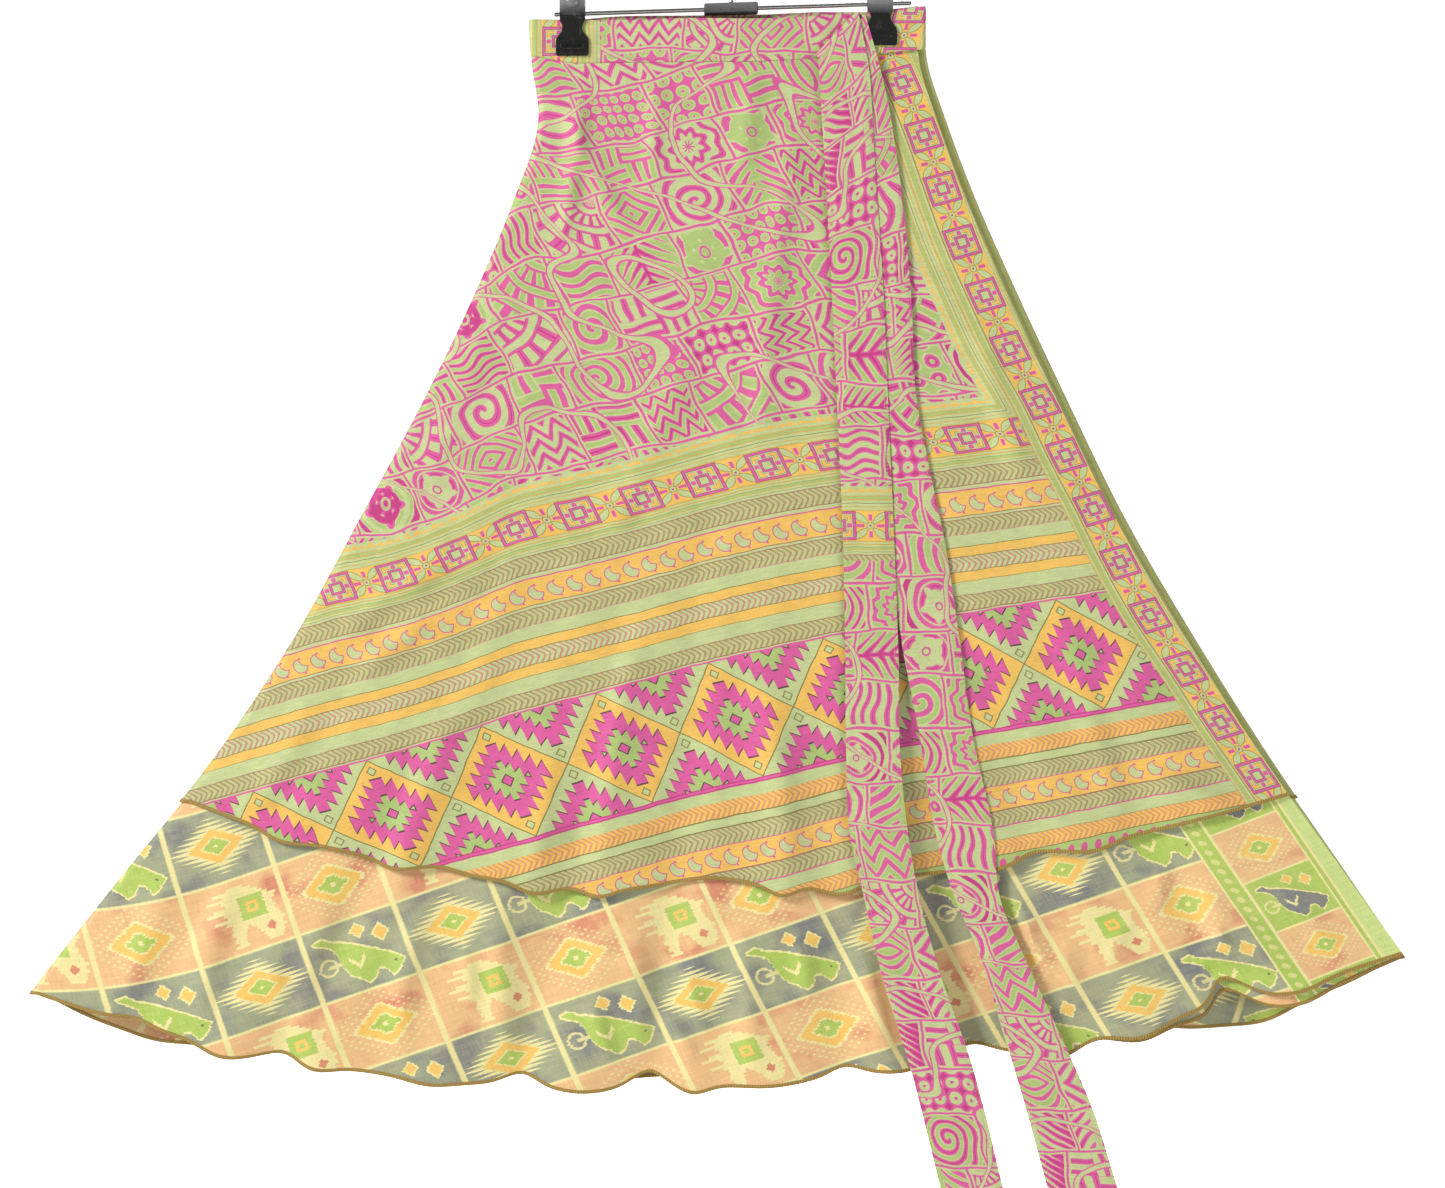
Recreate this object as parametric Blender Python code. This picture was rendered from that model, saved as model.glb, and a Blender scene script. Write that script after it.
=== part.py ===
"""Two-layer wrap skirt of printed cloth, hanging flat from a clip hanger.

The frame is in metres, +Z up, with the front facing -Y. The origin is the inside top of the hook,
where a rail carries the hanger. Sizes are named in millimetres and MM turns them into metres.

The wrap goes round once and a bit more. From the front the cloths lie in this order: upper and
under cloth of the front overlap, upper and under cloth of the underlap, the wearer's hollow, then
under and upper cloth of the back. The front overlap turns round the left fold and the underlap
turns round the right fold, each by a short return on the back.

Every panel is a piece of one plan. The plan's coordinates are s, from 0 at the left fold to 1 at
the right fold, and w, from 0 at the waist seam to 1 at the plain curve of the under cloth's hem.
"""
import math
from collections import namedtuple

import bmesh
import bpy
import numpy as np

MM = 0.001

# Cloth
WALL = 1.0
BAND_WALL = 2.3
TIE_WALL = 1.0
GAP = 0.3
BACK_SHIFT = 2.1

# Half the depth of the wearer's hollow
HOLLOW_PINCHED = 0.35
HOLLOW_WAIST_SWELL = 3.6
HOLLOW_HEM_SIDE = 4.0
HOLLOW_HEM_SWELL = 6.0
CLIP_S = (0.12, 0.88)
SIDE_SPAN = 0.12

# How far each cloth's middle lies from the hollow, at the waist and below it
Layer = namedtuple("Layer", "waist below")
INNER = Layer(0.5, 0.5)
OUTER = Layer(1.8, 2.9)
FRONT_UNDER = Layer(4.7, 5.3)
FRONT_UPPER = Layer(6.0, 7.7)
FRONT_BAND = 5.35
INNER_BAND = 1.15
SPREAD_OVER = 0.10

# Where the stretches end
FRONT_END_WAIST = 0.985
FRONT_END_HEM = 1.003
UNDERLAP_START = 0.15
LEFT_JOINT = 0.02
RIGHT_JOINT = 0.98

# Both sides of the folded skirt, going down
Side = namedtuple("Side", "z left right")
SIDES = (
    Side(-78, -174, 167),
    Side(-127, -171, 168),
    Side(-178, -165, 184),
    Side(-247, -186, 210),
    Side(-315, -214, 240),
    Side(-418, -263, 288),
    Side(-520, -318, 338),
    Side(-623, -375, 398),
    Side(-726, -444, 463),
    Side(-828, -526, 533),
    Side(-925, -602, 598),
    Side(-960, -628, 618),
)

# The waistband along the wrap: its top in front and behind, and its seam
Band = namedtuple("Band", "s front_top back_top seam")
BAND = (
    Band(0.00, -93.0, -93.0, -124.6),
    Band(0.08, -93.3, -93.0, -129.6),
    Band(0.20, -93.8, -89.5, -129.9),
    Band(0.40, -92.4, -88.0, -129.7),
    Band(0.60, -92.5, -87.0, -129.0),
    Band(0.72, -90.4, -85.5, -126.2),
    Band(0.85, -87.0, -85.5, -122.4),
    Band(0.92, -84.3, -84.6, -120.4),
    Band(1.00, -81.2, -81.5, -117.7),
)

# Plain hem curves: ends, drop in the middle and how far the drop leans to the left
Hem = namedtuple("Hem", "left right drop lean")
UNDER_HEM = Hem(-925, -892, 93.5, 0.28)
UPPER_HEM = Hem(-761, -755, 78.5, 0.25)

UNDERLAP_BAND_LOWER = 1.0

# How much lower than the front hem the back and the underlap hang
Lower = namedtuple("Lower", "s back underlap")
LOWER = (
    Lower(0.00, 0, 0),
    Lower(0.05, 8, 0),
    Lower(0.12, 6, -3),
    Lower(0.25, -4, -5),
    Lower(0.50, -6, -5),
    Lower(0.74, -3, -3),
    Lower(0.82, 12, 4),
    Lower(0.88, 20, 10),
    Lower(0.95, 13, 8),
    Lower(1.00, 3, 3),
)

# Folds at the hems: place, half width along s, rise of the hem and how far they stand forward
Fold = namedtuple("Fold", "s half rise forward")
UNDER_FOLDS = (
    Fold(0.069, 0.016, 5, -4.0),
    Fold(0.140, 0.022, -8, 5.0),
    Fold(0.178, 0.014, 5, -3.0),
    Fold(0.207, 0.016, -5, 3.0),
    Fold(0.290, 0.024, -5, 4.5),
    Fold(0.353, 0.016, 10, -5.0),
    Fold(0.400, 0.024, -4, 4.5),
    Fold(0.447, 0.016, 13, -5.0),
    Fold(0.482, 0.014, -6, 3.0),
    Fold(0.538, 0.030, -4, 5.0),
    Fold(0.592, 0.015, 7, -4.0),
    Fold(0.632, 0.020, -3, 3.0),
    Fold(0.686, 0.018, 11, -5.0),
    Fold(0.745, 0.022, -12, 6.0),
    Fold(0.805, 0.024, -10, 5.0),
    Fold(0.877, 0.016, 20, -5.0),
    Fold(0.925, 0.024, -6, 4.5),
)
UPPER_FOLDS = (
    Fold(0.090, 0.026, -6, 1.5),
    Fold(0.195, 0.020, -5, 1.5),
    Fold(0.235, 0.020, 3, -0.8),
    Fold(0.325, 0.022, -8, 2.0),
    Fold(0.382, 0.018, -7, 1.5),
    Fold(0.480, 0.050, 11, -1.0),
    Fold(0.548, 0.016, -8, 1.5),
    Fold(0.600, 0.022, -9, 2.0),
    Fold(0.734, 0.030, -5, 1.5),
    Fold(0.775, 0.018, 4, -0.8),
    Fold(0.826, 0.022, -5, 1.5),
)
BACK_FOLDS = (
    Fold(0.090, 0.022, -4, 4.0),
    Fold(0.165, 0.024, 6, -4.0),
    Fold(0.240, 0.024, -5, 4.5),
    Fold(0.330, 0.026, 7, -4.5),
    Fold(0.415, 0.026, -4, 5.0),
    Fold(0.500, 0.022, 8, -4.0),
    Fold(0.570, 0.026, -5, 4.5),
    Fold(0.655, 0.024, 8, -4.5),
    Fold(0.735, 0.026, -5, 5.0),
    Fold(0.815, 0.022, 6, -4.0),
    Fold(0.895, 0.022, -5, 4.0),
)
FOLD_FADE = 2.6
UPPER_LIFT = 3.0
LIFT_FROM = 0.45
LIFT_FULL = 0.80

# Hanger
ROD_RADIUS = 1.75
ROD_AT_MIDDLE = -83.5
ROD_SLOPE = math.radians(1.85)
ROD_ENDS = (-151.0, 154.0)
BLOCK_RADIUS = 5.5
BLOCK_LENGTH = 46.0
HOOK_WIRE = 2.0
HOOK_INSIDE = 19.0
HOOK_NECK = -55.0
CLIP_X = {"left": -135.5, "right": 127.5}
SLEEVE_RADIUS = 4.2
SLEEVE_LENGTH = 15.0
LEAF_WALL = 1.5
LEAF_SPLAY = 3.0
SPLAY_FROM = 15.0
SPLAY_OVER = 9.0
BOSS_RADIUS = 4.6
BOSS_DOME = ((0.0, 1.0), (1.1, 0.94), (2.4, 0.55))
BOSS_RISE = 10.0

# Half the width of a clip's leaf, by height from the rod
Leaf = namedtuple("Leaf", "z half")
LEAF = (
    Leaf(-36.6, 12.4),
    Leaf(-35.9, 13.5),
    Leaf(-34.4, 14.0),
    Leaf(-25.0, 14.0),
    Leaf(-21.5, 13.4),
    Leaf(-19.0, 11.4),
    Leaf(-16.0, 9.2),
    Leaf(-12.5, 8.4),
    Leaf(-9.5, 9.0),
    Leaf(-6.5, 10.6),
    Leaf(0.0, 10.8),
    Leaf(14.0, 10.8),
    Leaf(20.0, 10.4),
    Leaf(24.0, 8.6),
)

# Edges of the hanging ties, going down, and where the slant fold of the front tie lies
Strip = namedtuple("Strip", "z left right")
FRONT_TIE = (
    Strip(-89, 72.7, 108.6),
    Strip(-130, 74.5, 116.5),
    Strip(-213, 79.5, 122.2),
    Strip(-333, 86.0, 130.0),
    Strip(-418, 90.0, 133.5),
    Strip(-533, 95.0, 138.5),
    Strip(-640, 97.0, 142.3),
    Strip(-720, 97.6, 143.5),
    Strip(-786, 100.5, 150.0),
    Strip(-845, 113.5, 160.5),
    Strip(-908, 128.0, 178.0),
    Strip(-976, 149.0, 202.0),
    Strip(-1090, 178.0, 231.0),
)
UNDER_TIE = (
    Strip(-88, 77.0, 113.8),
    Strip(-126, 79.0, 124.6),
    Strip(-157, 90.0, 132.2),
    Strip(-213, 100.0, 141.5),
    Strip(-333, 115.0, 153.5),
    Strip(-418, 128.5, 158.0),
    Strip(-468, 134.0, 167.0),
    Strip(-541, 136.0, 182.0),
    Strip(-621, 144.5, 194.0),
    Strip(-704, 160.0, 205.2),
    Strip(-786, 173.5, 222.5),
    Strip(-845, 191.0, 229.0),
    Strip(-888, 210.0, 247.0),
    Strip(-951, 229.0, 276.0),
    Strip(-1014, 248.0, 304.0),
    Strip(-1080, 266.0, 325.0),
)
TIE_CLEAR = 0.9
TIE_REST = 11.7
TIE_PART = 0.6
TIE_TURN = 163.2
TIE_TUCK = 12.0
Slant = namedtuple("Slant", "low_x low_z high_x high_z")
FRONT_SLANT = Slant(72.7, -126.3, 108.6, -89.5)
UNDER_SLANT = Slant(77.5, -127.6, 113.8, -90.3)

# The ties' level run along the band, from the slant to the right end
Run = namedtuple("Run", "x low high")
TIE_RUN = (
    Run(108, -125.4, -89.0),
    Run(124, -123.8, -87.0),
    Run(140, -121.6, -84.8),
    Run(170, -118.2, -81.6),
)

# How finely the surfaces are divided
SIDE_COLUMN = 0.03
LEAST_COLUMN = 0.01
FRONT_LENGTH = 780.0
ARC_STEPS = 6
ROWS = {
    "under": (0.0, 0.05, 0.10, 0.17, 0.27, 0.42, 0.60, 0.80, 1.0),
    "upper": (0.0, 0.0625, 0.125, 0.2125, 0.3375, 0.525, 0.75, 1.0),
}
TIE_ROWS = 34
TIE_FEELERS = 9
ACROSS = np.linspace(0, 1, 4)


def smooth(x, rows, key, value):
    """Value at x on the smooth curve through a table's rows: cubic, with the rows' own slopes."""
    order = sorted(rows, key=lambda row: getattr(row, key))
    xs = np.array([getattr(row, key) for row in order], float)
    ys = np.array([getattr(row, value) for row in order], float)
    slopes = np.gradient(ys, xs)
    x = np.clip(x, xs[0], xs[-1])
    i = np.clip(np.searchsorted(xs, x, side="right") - 1, 0, len(xs) - 2)
    h = xs[i + 1] - xs[i]
    t = (x - xs[i]) / h
    start = (1 + 2 * t) * (1 - t) ** 2 * ys[i] + t * (1 - t) ** 2 * h * slopes[i]
    end = t * t * (3 - 2 * t) * ys[i + 1] - t * t * (1 - t) * h * slopes[i + 1]
    return start + end


def ease(t):
    """Soft step from 0 to 1."""
    t = np.clip(t, 0.0, 1.0)
    return t * t * (3 - 2 * t)


def inside(s):
    """0 at the side folds, 1 away from them, rounding over like a soft edge."""
    reach = np.clip(np.minimum(s, 1 - s) / SIDE_SPAN, 0.0, 1.0)
    return 1 - (1 - reach) ** 2


def half_hollow(s, w):
    """Half the hollow's depth: pinched at the clips, swelling between them and towards the hem."""
    along = np.clip((s - CLIP_S[0]) / (CLIP_S[1] - CLIP_S[0]), 0.0, 1.0)
    waist = HOLLOW_PINCHED + HOLLOW_WAIST_SWELL * np.sin(math.pi * along) ** 2
    hem = HOLLOW_HEM_SIDE + HOLLOW_HEM_SWELL * inside(s)
    return waist * (1 - w) + hem * w


def layer(spec, w):
    """Distance of a cloth's middle from the hollow: the layers part a little below the waist."""
    return spec.waist + (spec.below - spec.waist) * ease(w / SPREAD_OVER)


def fold_sum(folds, s, column):
    """Sum of the folds' bell curves at s, for the rise or the forward column."""
    total = np.zeros_like(s, dtype=float)
    for fold in folds:
        total += getattr(fold, column) * np.exp(-((s - fold.s) / fold.half) ** 2)
    return total


def plain_hem(hem, s):
    """A hem without its folds: a line between the ends, less a leaning parabola."""
    return hem.left + (hem.right - hem.left) * s - 4 * s * (1 - s) * hem.drop * (1 - hem.lean * (s - 0.5))


def seam(s):
    return smooth(s, BAND, "s", "seam")


def plan_x(s, z_left, z_right, w):
    """x at s on the row that meets the left fold at z_left and the right fold at z_right."""
    pinch = half_hollow(np.zeros_like(s), w)
    left_radius = pinch + (layer(FRONT_UPPER, w) + layer(OUTER, w)) / 2
    right_radius = pinch + layer(OUTER, w)
    left = smooth(z_left, SIDES, "z", "left") + left_radius + WALL / 2
    right = smooth(z_right, SIDES, "z", "right") - right_radius - WALL / 2
    return left + (right - left) * s


def plan(s, w):
    """x and z of a point of the plan."""
    ends = np.zeros_like(s)
    z_left = seam(ends) + (UNDER_HEM.left - seam(ends)) * w
    z_right = seam(ends + 1) + (UNDER_HEM.right - seam(ends + 1)) * w
    z = seam(s) + (plain_hem(UNDER_HEM, s) - seam(s)) * w
    return plan_x(s, z_left, z_right, w), z


def reach(s, hem_z):
    """w at which a hem of height hem_z lies."""
    return (seam(s) - hem_z) / (seam(s) - plain_hem(UNDER_HEM, s))


def front_waves(s, w):
    return fold_sum(UNDER_FOLDS, s, "forward") * w ** FOLD_FADE * inside(s)


def back_waves(s, w):
    return fold_sum(BACK_FOLDS, s, "forward") * w ** FOLD_FADE * inside(s)


def upper_stand(s, w, folds):
    """How far an upper cloth stands off the one below it towards its hem."""
    rise = ease((w - LIFT_FROM) / (LIFT_FULL - LIFT_FROM))
    return rise * inside(s) * (UPPER_LIFT + fold_sum(folds, s, "forward"))


def front_y(s, w, offset):
    return BACK_SHIFT - half_hollow(s, w) - offset - front_waves(s, w)


def back_y(s, w, offset):
    return BACK_SHIFT + half_hollow(s, w) + offset + back_waves(s, w)


def arc(side, w, front_offset, back_offset, theta):
    """Points round a side fold, from the front (theta 0) to the back (theta pi)."""
    s = np.full_like(w, 0.0 if side == "left" else 1.0)
    x, z = plan(s, w)
    y_front = front_y(s, w, front_offset)
    y_back = back_y(s, w, back_offset)
    radius = (y_back - y_front) / 2
    out = -1 if side == "left" else 1
    y = (y_front + y_back) / 2 - radius * np.cos(theta)
    return np.stack([x + out * radius * np.sin(theta), y, z], -1)


def material(name, colour, roughness, metallic=0.0):
    mat = bpy.data.materials.new(name)
    mat.use_nodes = True
    shader = mat.node_tree.nodes["Principled BSDF"]
    shader.inputs["Base Color"].default_value = (*colour, 1.0)
    shader.inputs["Roughness"].default_value = roughness
    shader.inputs["Metallic"].default_value = metallic
    return mat


def add_object(name, mesh, mat, smooth_angle=35):
    mesh.materials.append(mat)
    obj = bpy.data.objects.new(name, mesh)
    bpy.context.scene.collection.objects.link(obj)
    mesh.shade_smooth()
    mesh.set_sharp_from_angle(angle=math.radians(smooth_angle))
    return obj


def finish_mesh(name, vertices, faces, mat, smooth_angle=35):
    """One closed mesh from points in millimetres, with its faces pointing out."""
    mesh = bpy.data.meshes.new(name)
    mesh.from_pydata((np.asarray(vertices) * MM).tolist(), [], faces)
    shell = bmesh.new()
    shell.from_mesh(mesh)
    bmesh.ops.recalc_face_normals(shell, faces=shell.faces)
    shell.to_mesh(mesh)
    shell.free()
    return add_object(name, mesh, mat, smooth_angle)


def wall(name, middle, thickness, mat):
    """A wall of even thickness round a grid of middle points, closed along its four edges."""
    down = np.gradient(middle, axis=0)
    along = np.gradient(middle, axis=1)
    normal = np.cross(down, along)
    normal /= np.linalg.norm(normal, axis=-1, keepdims=True)
    rows, columns = middle.shape[:2]
    sheets = [middle + normal * thickness / 2, middle - normal * thickness / 2]
    count = rows * columns
    index = np.arange(count).reshape(rows, columns)
    quads = np.stack([index[:-1, :-1], index[:-1, 1:], index[1:, 1:], index[1:, :-1]], -1).reshape(-1, 4)
    rim = np.concatenate([index[0, :], index[1:, -1], index[-1, -2::-1], index[-2:0:-1, 0]])
    ring = np.stack([rim, np.roll(rim, -1), np.roll(rim, -1) + count, rim + count], -1)
    faces = np.concatenate([quads, quads[:, ::-1] + count, ring[:, ::-1]])
    vertices = np.concatenate([sheet.reshape(-1, 3) for sheet in sheets])
    return finish_mesh(name, vertices, faces.tolist(), mat)


def columns_at(folds, start=0.0, end=1.0):
    """s of a panel's columns: one on each fold's crest, one midway to the next, and the ends."""
    crests = [fold.s for fold in folds]
    between = [(a + b) / 2 for a, b in zip(crests, crests[1:])]
    sides = [SIDE_COLUMN, 1 - SIDE_COLUMN]
    inner = [s for s in crests + between + sides if start + LEAST_COLUMN < s < end - LEAST_COLUMN]
    return np.array([start] + sorted(inner) + [end])


def rows_down(cloth_name, reach_at_s):
    """w of every row, from the seam gap down to the hem, for an array of hem reaches."""
    top = GAP / FRONT_LENGTH
    return top + np.array(ROWS[cloth_name])[:, None] * (reach_at_s[None, :] - top)


def joint(s, w, direction):
    """s on the far side of a seam gap from s, a gap of the same width on every row."""
    width = plan(np.ones_like(w), w)[0] - plan(np.zeros_like(w), w)[0]
    return s + direction * GAP / width


def front_hem(spec, folds):
    """Function of s giving the reach of a front hem."""
    return lambda s: reach(s, plain_hem(spec, s) + fold_sum(folds, s, "rise") * inside(s))


def rear_hem(spec, column, folds):
    """Function of s giving the reach of a back or underlap hem."""
    lower = lambda s: smooth(s, LOWER, "s", column)
    return lambda s: reach(s, plain_hem(spec, s) - lower(s) + fold_sum(folds, s, "rise") * inside(s))


def front_panel(prefix, cloth, back_cloth, hem, back_hem, stand, mat):
    """The front overlap: free edge at the right, across the front, round the left fold."""
    share = columns_at(UNDER_FOLDS)[None, ::-1]
    w = rows_down(prefix, hem(share[0]))
    s = share * (FRONT_END_WAIST + (FRONT_END_HEM - FRONT_END_WAIST) * w)
    x, z = plan(s, w)
    front = np.stack([x, front_y(s, w, layer(cloth, w)) - stand(s, w), z], -1)
    theta = np.linspace(0, math.pi, ARC_STEPS + 1)[None, 1:-1]
    w = rows_down(prefix, hem(np.zeros(ARC_STEPS - 1)))
    turn = arc("left", w, layer(cloth, w), layer(back_cloth, w), theta)
    s_back = np.array([0.0, LEFT_JOINT])
    w = rows_down(prefix, back_hem(s_back))
    s = s_back + 0 * w
    x, z = plan(s, w)
    back = np.stack([x, back_y(s, w, layer(back_cloth, w)), z], -1)
    wall(f"{prefix}_front", np.concatenate([front, turn, back], axis=1), WALL, mat)


def underlap_panel(prefix, cloth, hem, back_hem, mat):
    """The underlap: free edge at the left, across behind the overlap, round the right fold."""
    columns = columns_at(UNDER_FOLDS, start=UNDERLAP_START)
    w = rows_down(prefix, hem(columns))
    s = columns + 0 * w
    x, z = plan(s, w)
    front = np.stack([x, front_y(s, w, layer(cloth, w)), z], -1)
    theta = np.linspace(0, math.pi, ARC_STEPS + 1)[None, 1:-1]
    w = rows_down(prefix, hem(np.ones(ARC_STEPS - 1)))
    turn = arc("right", w, layer(cloth, w), layer(cloth, w), theta)
    s_back = np.array([1.0, RIGHT_JOINT])
    w = rows_down(prefix, back_hem(s_back))
    s = s_back + 0 * w
    x, z = plan(s, w)
    back = np.stack([x, back_y(s, w, layer(cloth, w)), z], -1)
    wall(f"{prefix}_underlap", np.concatenate([front, turn, back], axis=1), WALL, mat)


def back_panel(prefix, cloth, hem, stand, mat):
    """The back, between its joints with the overlap and the underlap."""
    columns = columns_at(BACK_FOLDS, LEFT_JOINT, RIGHT_JOINT)
    w = rows_down(prefix, hem(columns))
    s = columns + 0 * w
    s[:, 0] = joint(s[:, 0], w[:, 0], 1)
    s[:, -1] = joint(s[:, -1], w[:, -1], -1)
    x, z = plan(s, w)
    y = back_y(s, w, layer(cloth, w)) + stand(s, w)
    wall(f"{prefix}_back", np.stack([x, y, z], -1), WALL, mat)


def no_stand(s, w):
    return np.zeros_like(s)


def make_skirt(upper, under):
    """The six cloth panels."""
    for prefix, spec, folds, front, rear, mat, lift in (
        ("under", UNDER_HEM, UNDER_FOLDS, FRONT_UNDER, INNER, under, None),
        ("upper", UPPER_HEM, UPPER_FOLDS, FRONT_UPPER, OUTER, upper, UPPER_LIFT),
    ):
        stand_front = (lambda s, w: upper_stand(s, w, UPPER_FOLDS)) if lift else no_stand
        stand_back = (lambda s, w: upper_stand(s, w, ())) if lift else no_stand
        hem = front_hem(spec, folds)
        back_hem = rear_hem(spec, "back", BACK_FOLDS)
        underlap_hem = rear_hem(spec, "underlap", folds)
        front_panel(prefix, front, rear, hem, back_hem, stand_front, mat)
        underlap_panel(prefix, rear, underlap_hem, back_hem, mat)
        back_panel(prefix, rear, back_hem, stand_back, mat)


def band_rows(s, top_column):
    """x and z of a band's two rows, top and seam."""
    top = smooth(s, BAND, "s", top_column)
    ends = np.array([0.0, 1.0])
    end_tops = smooth(ends, BAND, "s", top_column)
    end_seams = seam(ends)
    xs, zs = [], []
    for share in (0.0, 1.0):
        z_left, z_right = end_tops + (end_seams - end_tops) * share
        xs.append(plan_x(s, z_left, z_right, np.zeros_like(s)))
        zs.append(top + (seam(s) - top) * share)
    return np.array(xs), np.array(zs)


def band_side(s, top_column, offset, face):
    """Grid of a band's middle along the front or the back."""
    x, z = band_rows(s, top_column)
    w = np.zeros_like(x)
    s = s[None, :] + w
    depth = front_y if face == "front" else back_y
    return np.stack([x, depth(s, w, offset), z], -1)


def band_arc(side, top_column, front_offset, back_offset):
    """Grid of a band's middle round a side fold."""
    s = np.full(ARC_STEPS - 1, 0.0 if side == "left" else 1.0)
    x, z = band_rows(s, top_column)
    theta = np.linspace(0, math.pi, ARC_STEPS + 1)[None, 1:-1]
    points = arc(side, np.zeros_like(x), front_offset, back_offset, theta)
    out = points[..., 0] - plan(np.full_like(x, s[0]), np.zeros_like(x))[0]
    return np.stack([x + out, points[..., 1], z], -1)


def make_bands(mat):
    """The waistband of the overlap, of the back and of the underlap."""
    columns = columns_at(UNDER_FOLDS)
    front = band_side(columns[::-1] * FRONT_END_WAIST, "front_top", FRONT_BAND, "front")
    turn = band_arc("left", "front_top", FRONT_BAND, INNER_BAND)
    tail = band_side(np.array([0.0, LEFT_JOINT]), "front_top", INNER_BAND, "back")
    wall("waistband_front", np.concatenate([front, turn, tail], axis=1), BAND_WALL, mat)
    inner = band_side(columns_at(UNDER_FOLDS, start=UNDERLAP_START), "front_top", INNER_BAND, "front")
    inner[0, :, 2] -= UNDERLAP_BAND_LOWER
    turn = band_arc("right", "front_top", INNER_BAND, INNER_BAND)
    tail = band_side(np.array([1.0, RIGHT_JOINT]), "front_top", INNER_BAND, "back")
    wall("waistband_underlap", np.concatenate([inner, turn, tail], axis=1), BAND_WALL, mat)
    s = columns_at(BACK_FOLDS, LEFT_JOINT, RIGHT_JOINT)
    ends = joint(s[[0, -1]], np.zeros(2), np.array([1, -1]))
    s[0], s[-1] = ends
    wall("waistband_back", band_side(s, "back_top", INNER_BAND, "back"), BAND_WALL, mat)


def cloth_depth(x, z):
    """y of the outer face of the front upper cloth at x and z, carried on below its hem."""
    s = np.full_like(x, 0.7)
    w = np.zeros_like(x)
    for _ in range(8):
        w = np.clip(reach(s, z), 0.0, 1.0)
        left, _ = plan(np.zeros_like(s), w)
        right, _ = plan(np.ones_like(s), w)
        s = np.clip((x - left) / (right - left), 0.0, 1.0)
    stand = upper_stand(s, w, UPPER_FOLDS)
    return front_y(s, w, layer(FRONT_UPPER, w)) - stand - WALL / 2


def tie_depth(z, extra):
    """y of a tie's middle at height z: in front of the clip's jaw and of the cloth's folds there."""
    left = smooth(z, FRONT_TIE, "z", "left")
    right = smooth(z, UNDER_TIE, "z", "right")
    share = np.linspace(0, 1, TIE_FEELERS).reshape((-1,) + (1,) * z.ndim)
    x = left + (right - left) * share
    cloth = cloth_depth(x, z + 0 * x).min(axis=0) - TIE_CLEAR - TIE_WALL / 2
    return np.minimum(BACK_SHIFT - HOLLOW_PINCHED - TIE_REST, cloth) - extra


def hanging_rows(table, slant, extra):
    """Grid of a hanging strip from its slanted fold down, with four columns across."""
    t = np.linspace(0, 1, TIE_ROWS)
    end = table[-1].z
    left_z = slant.low_z + (end - slant.low_z) * t
    right_z = slant.high_z + (end - slant.high_z) * t
    left_x = smooth(left_z, table, "z", "left")
    right_x = smooth(right_z, table, "z", "right")
    x = left_x[:, None] * (1 - ACROSS) + right_x[:, None] * ACROSS
    z = left_z[:, None] * (1 - ACROSS) + right_z[:, None] * ACROSS
    return np.stack([x, tie_depth(z, extra), z], -1)


def upright_row(x, y):
    """One row across a tie where it still runs level along the band."""
    low = smooth(np.array([x]), TIE_RUN, "x", "low")[0]
    high = smooth(np.array([x]), TIE_RUN, "x", "high")[0]
    return np.stack([np.full(4, x), np.full(4, y), low + (high - low) * ACROSS], -1)


def make_tie(name, table, slant, start, turn_x, run_y, extra, mat):
    """A tie's whole strip: round the band's right end, back along it, over the slant and down."""
    start_x, start_y = start
    turn_radius = (start_y - run_y) / 2
    rows = [upright_row(start_x, start_y)]
    for angle in np.linspace(0, math.pi, ARC_STEPS + 1):
        x = turn_x + turn_radius * math.sin(angle)
        rows.append(upright_row(x, start_y - turn_radius * (1 - math.cos(angle))))
    low = np.array([slant.low_x, run_y, slant.low_z])
    high = np.array([slant.high_x, run_y, slant.high_z])
    fold = low + (high - low) * ACROSS[:, None]
    left, right = (plan(np.array([s]), np.array([0.0]))[0][0] for s in (0.0, 1.0))
    for share in (0.25, 0.5, 0.75, 1.0):
        row = rows[ARC_STEPS + 1] * (1 - share) + fold * share
        s = (row[:, 0] - left) / (right - left)
        row[:, 1] = run_y + HOLLOW_PINCHED - half_hollow(s, np.zeros(4))
        rows.append(row)
    hang = hanging_rows(table, slant, extra)
    outwards = np.array([slant.low_z - slant.high_z, 0, slant.high_x - slant.low_x])
    outwards = outwards / np.linalg.norm(outwards)
    last, first = rows[-1], hang[0]
    middle = (last + first) / 2
    radius = (last[:, 1:2] - first[:, 1:2]) / 2
    for angle in np.linspace(0, math.pi, ARC_STEPS + 1)[1:-1]:
        row = middle + outwards * radius * math.sin(angle)
        row[:, 1:2] = middle[:, 1:2] + radius * math.cos(angle)
        rows.append(row)
    wall(name, np.concatenate([np.array(rows), hang]), TIE_WALL, mat)


def make_ties(mat):
    """The overlap's tie is the band's own end; the underlap's comes out between the two bands."""
    pinched = BACK_SHIFT - HOLLOW_PINCHED
    band_end = plan(np.array([FRONT_END_WAIST]), np.array([0.0]))[0][0]
    front_run = pinched - FRONT_BAND - BAND_WALL / 2 - GAP - TIE_WALL / 2
    under_run = front_run - TIE_WALL - GAP
    make_tie(
        "tie_front", FRONT_TIE, FRONT_SLANT, (band_end + GAP, pinched - FRONT_BAND), TIE_TURN,
        front_run, TIE_WALL + TIE_PART, mat,
    )
    between = pinched - (INNER_BAND + FRONT_BAND) / 2
    make_tie(
        "tie_under", UNDER_TIE, UNDER_SLANT, (TIE_TURN - TIE_TUCK, between), TIE_TURN,
        under_run, 0.0, mat,
    )


def rod_z(x):
    return ROD_AT_MIDDLE + x * math.tan(ROD_SLOPE)


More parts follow.
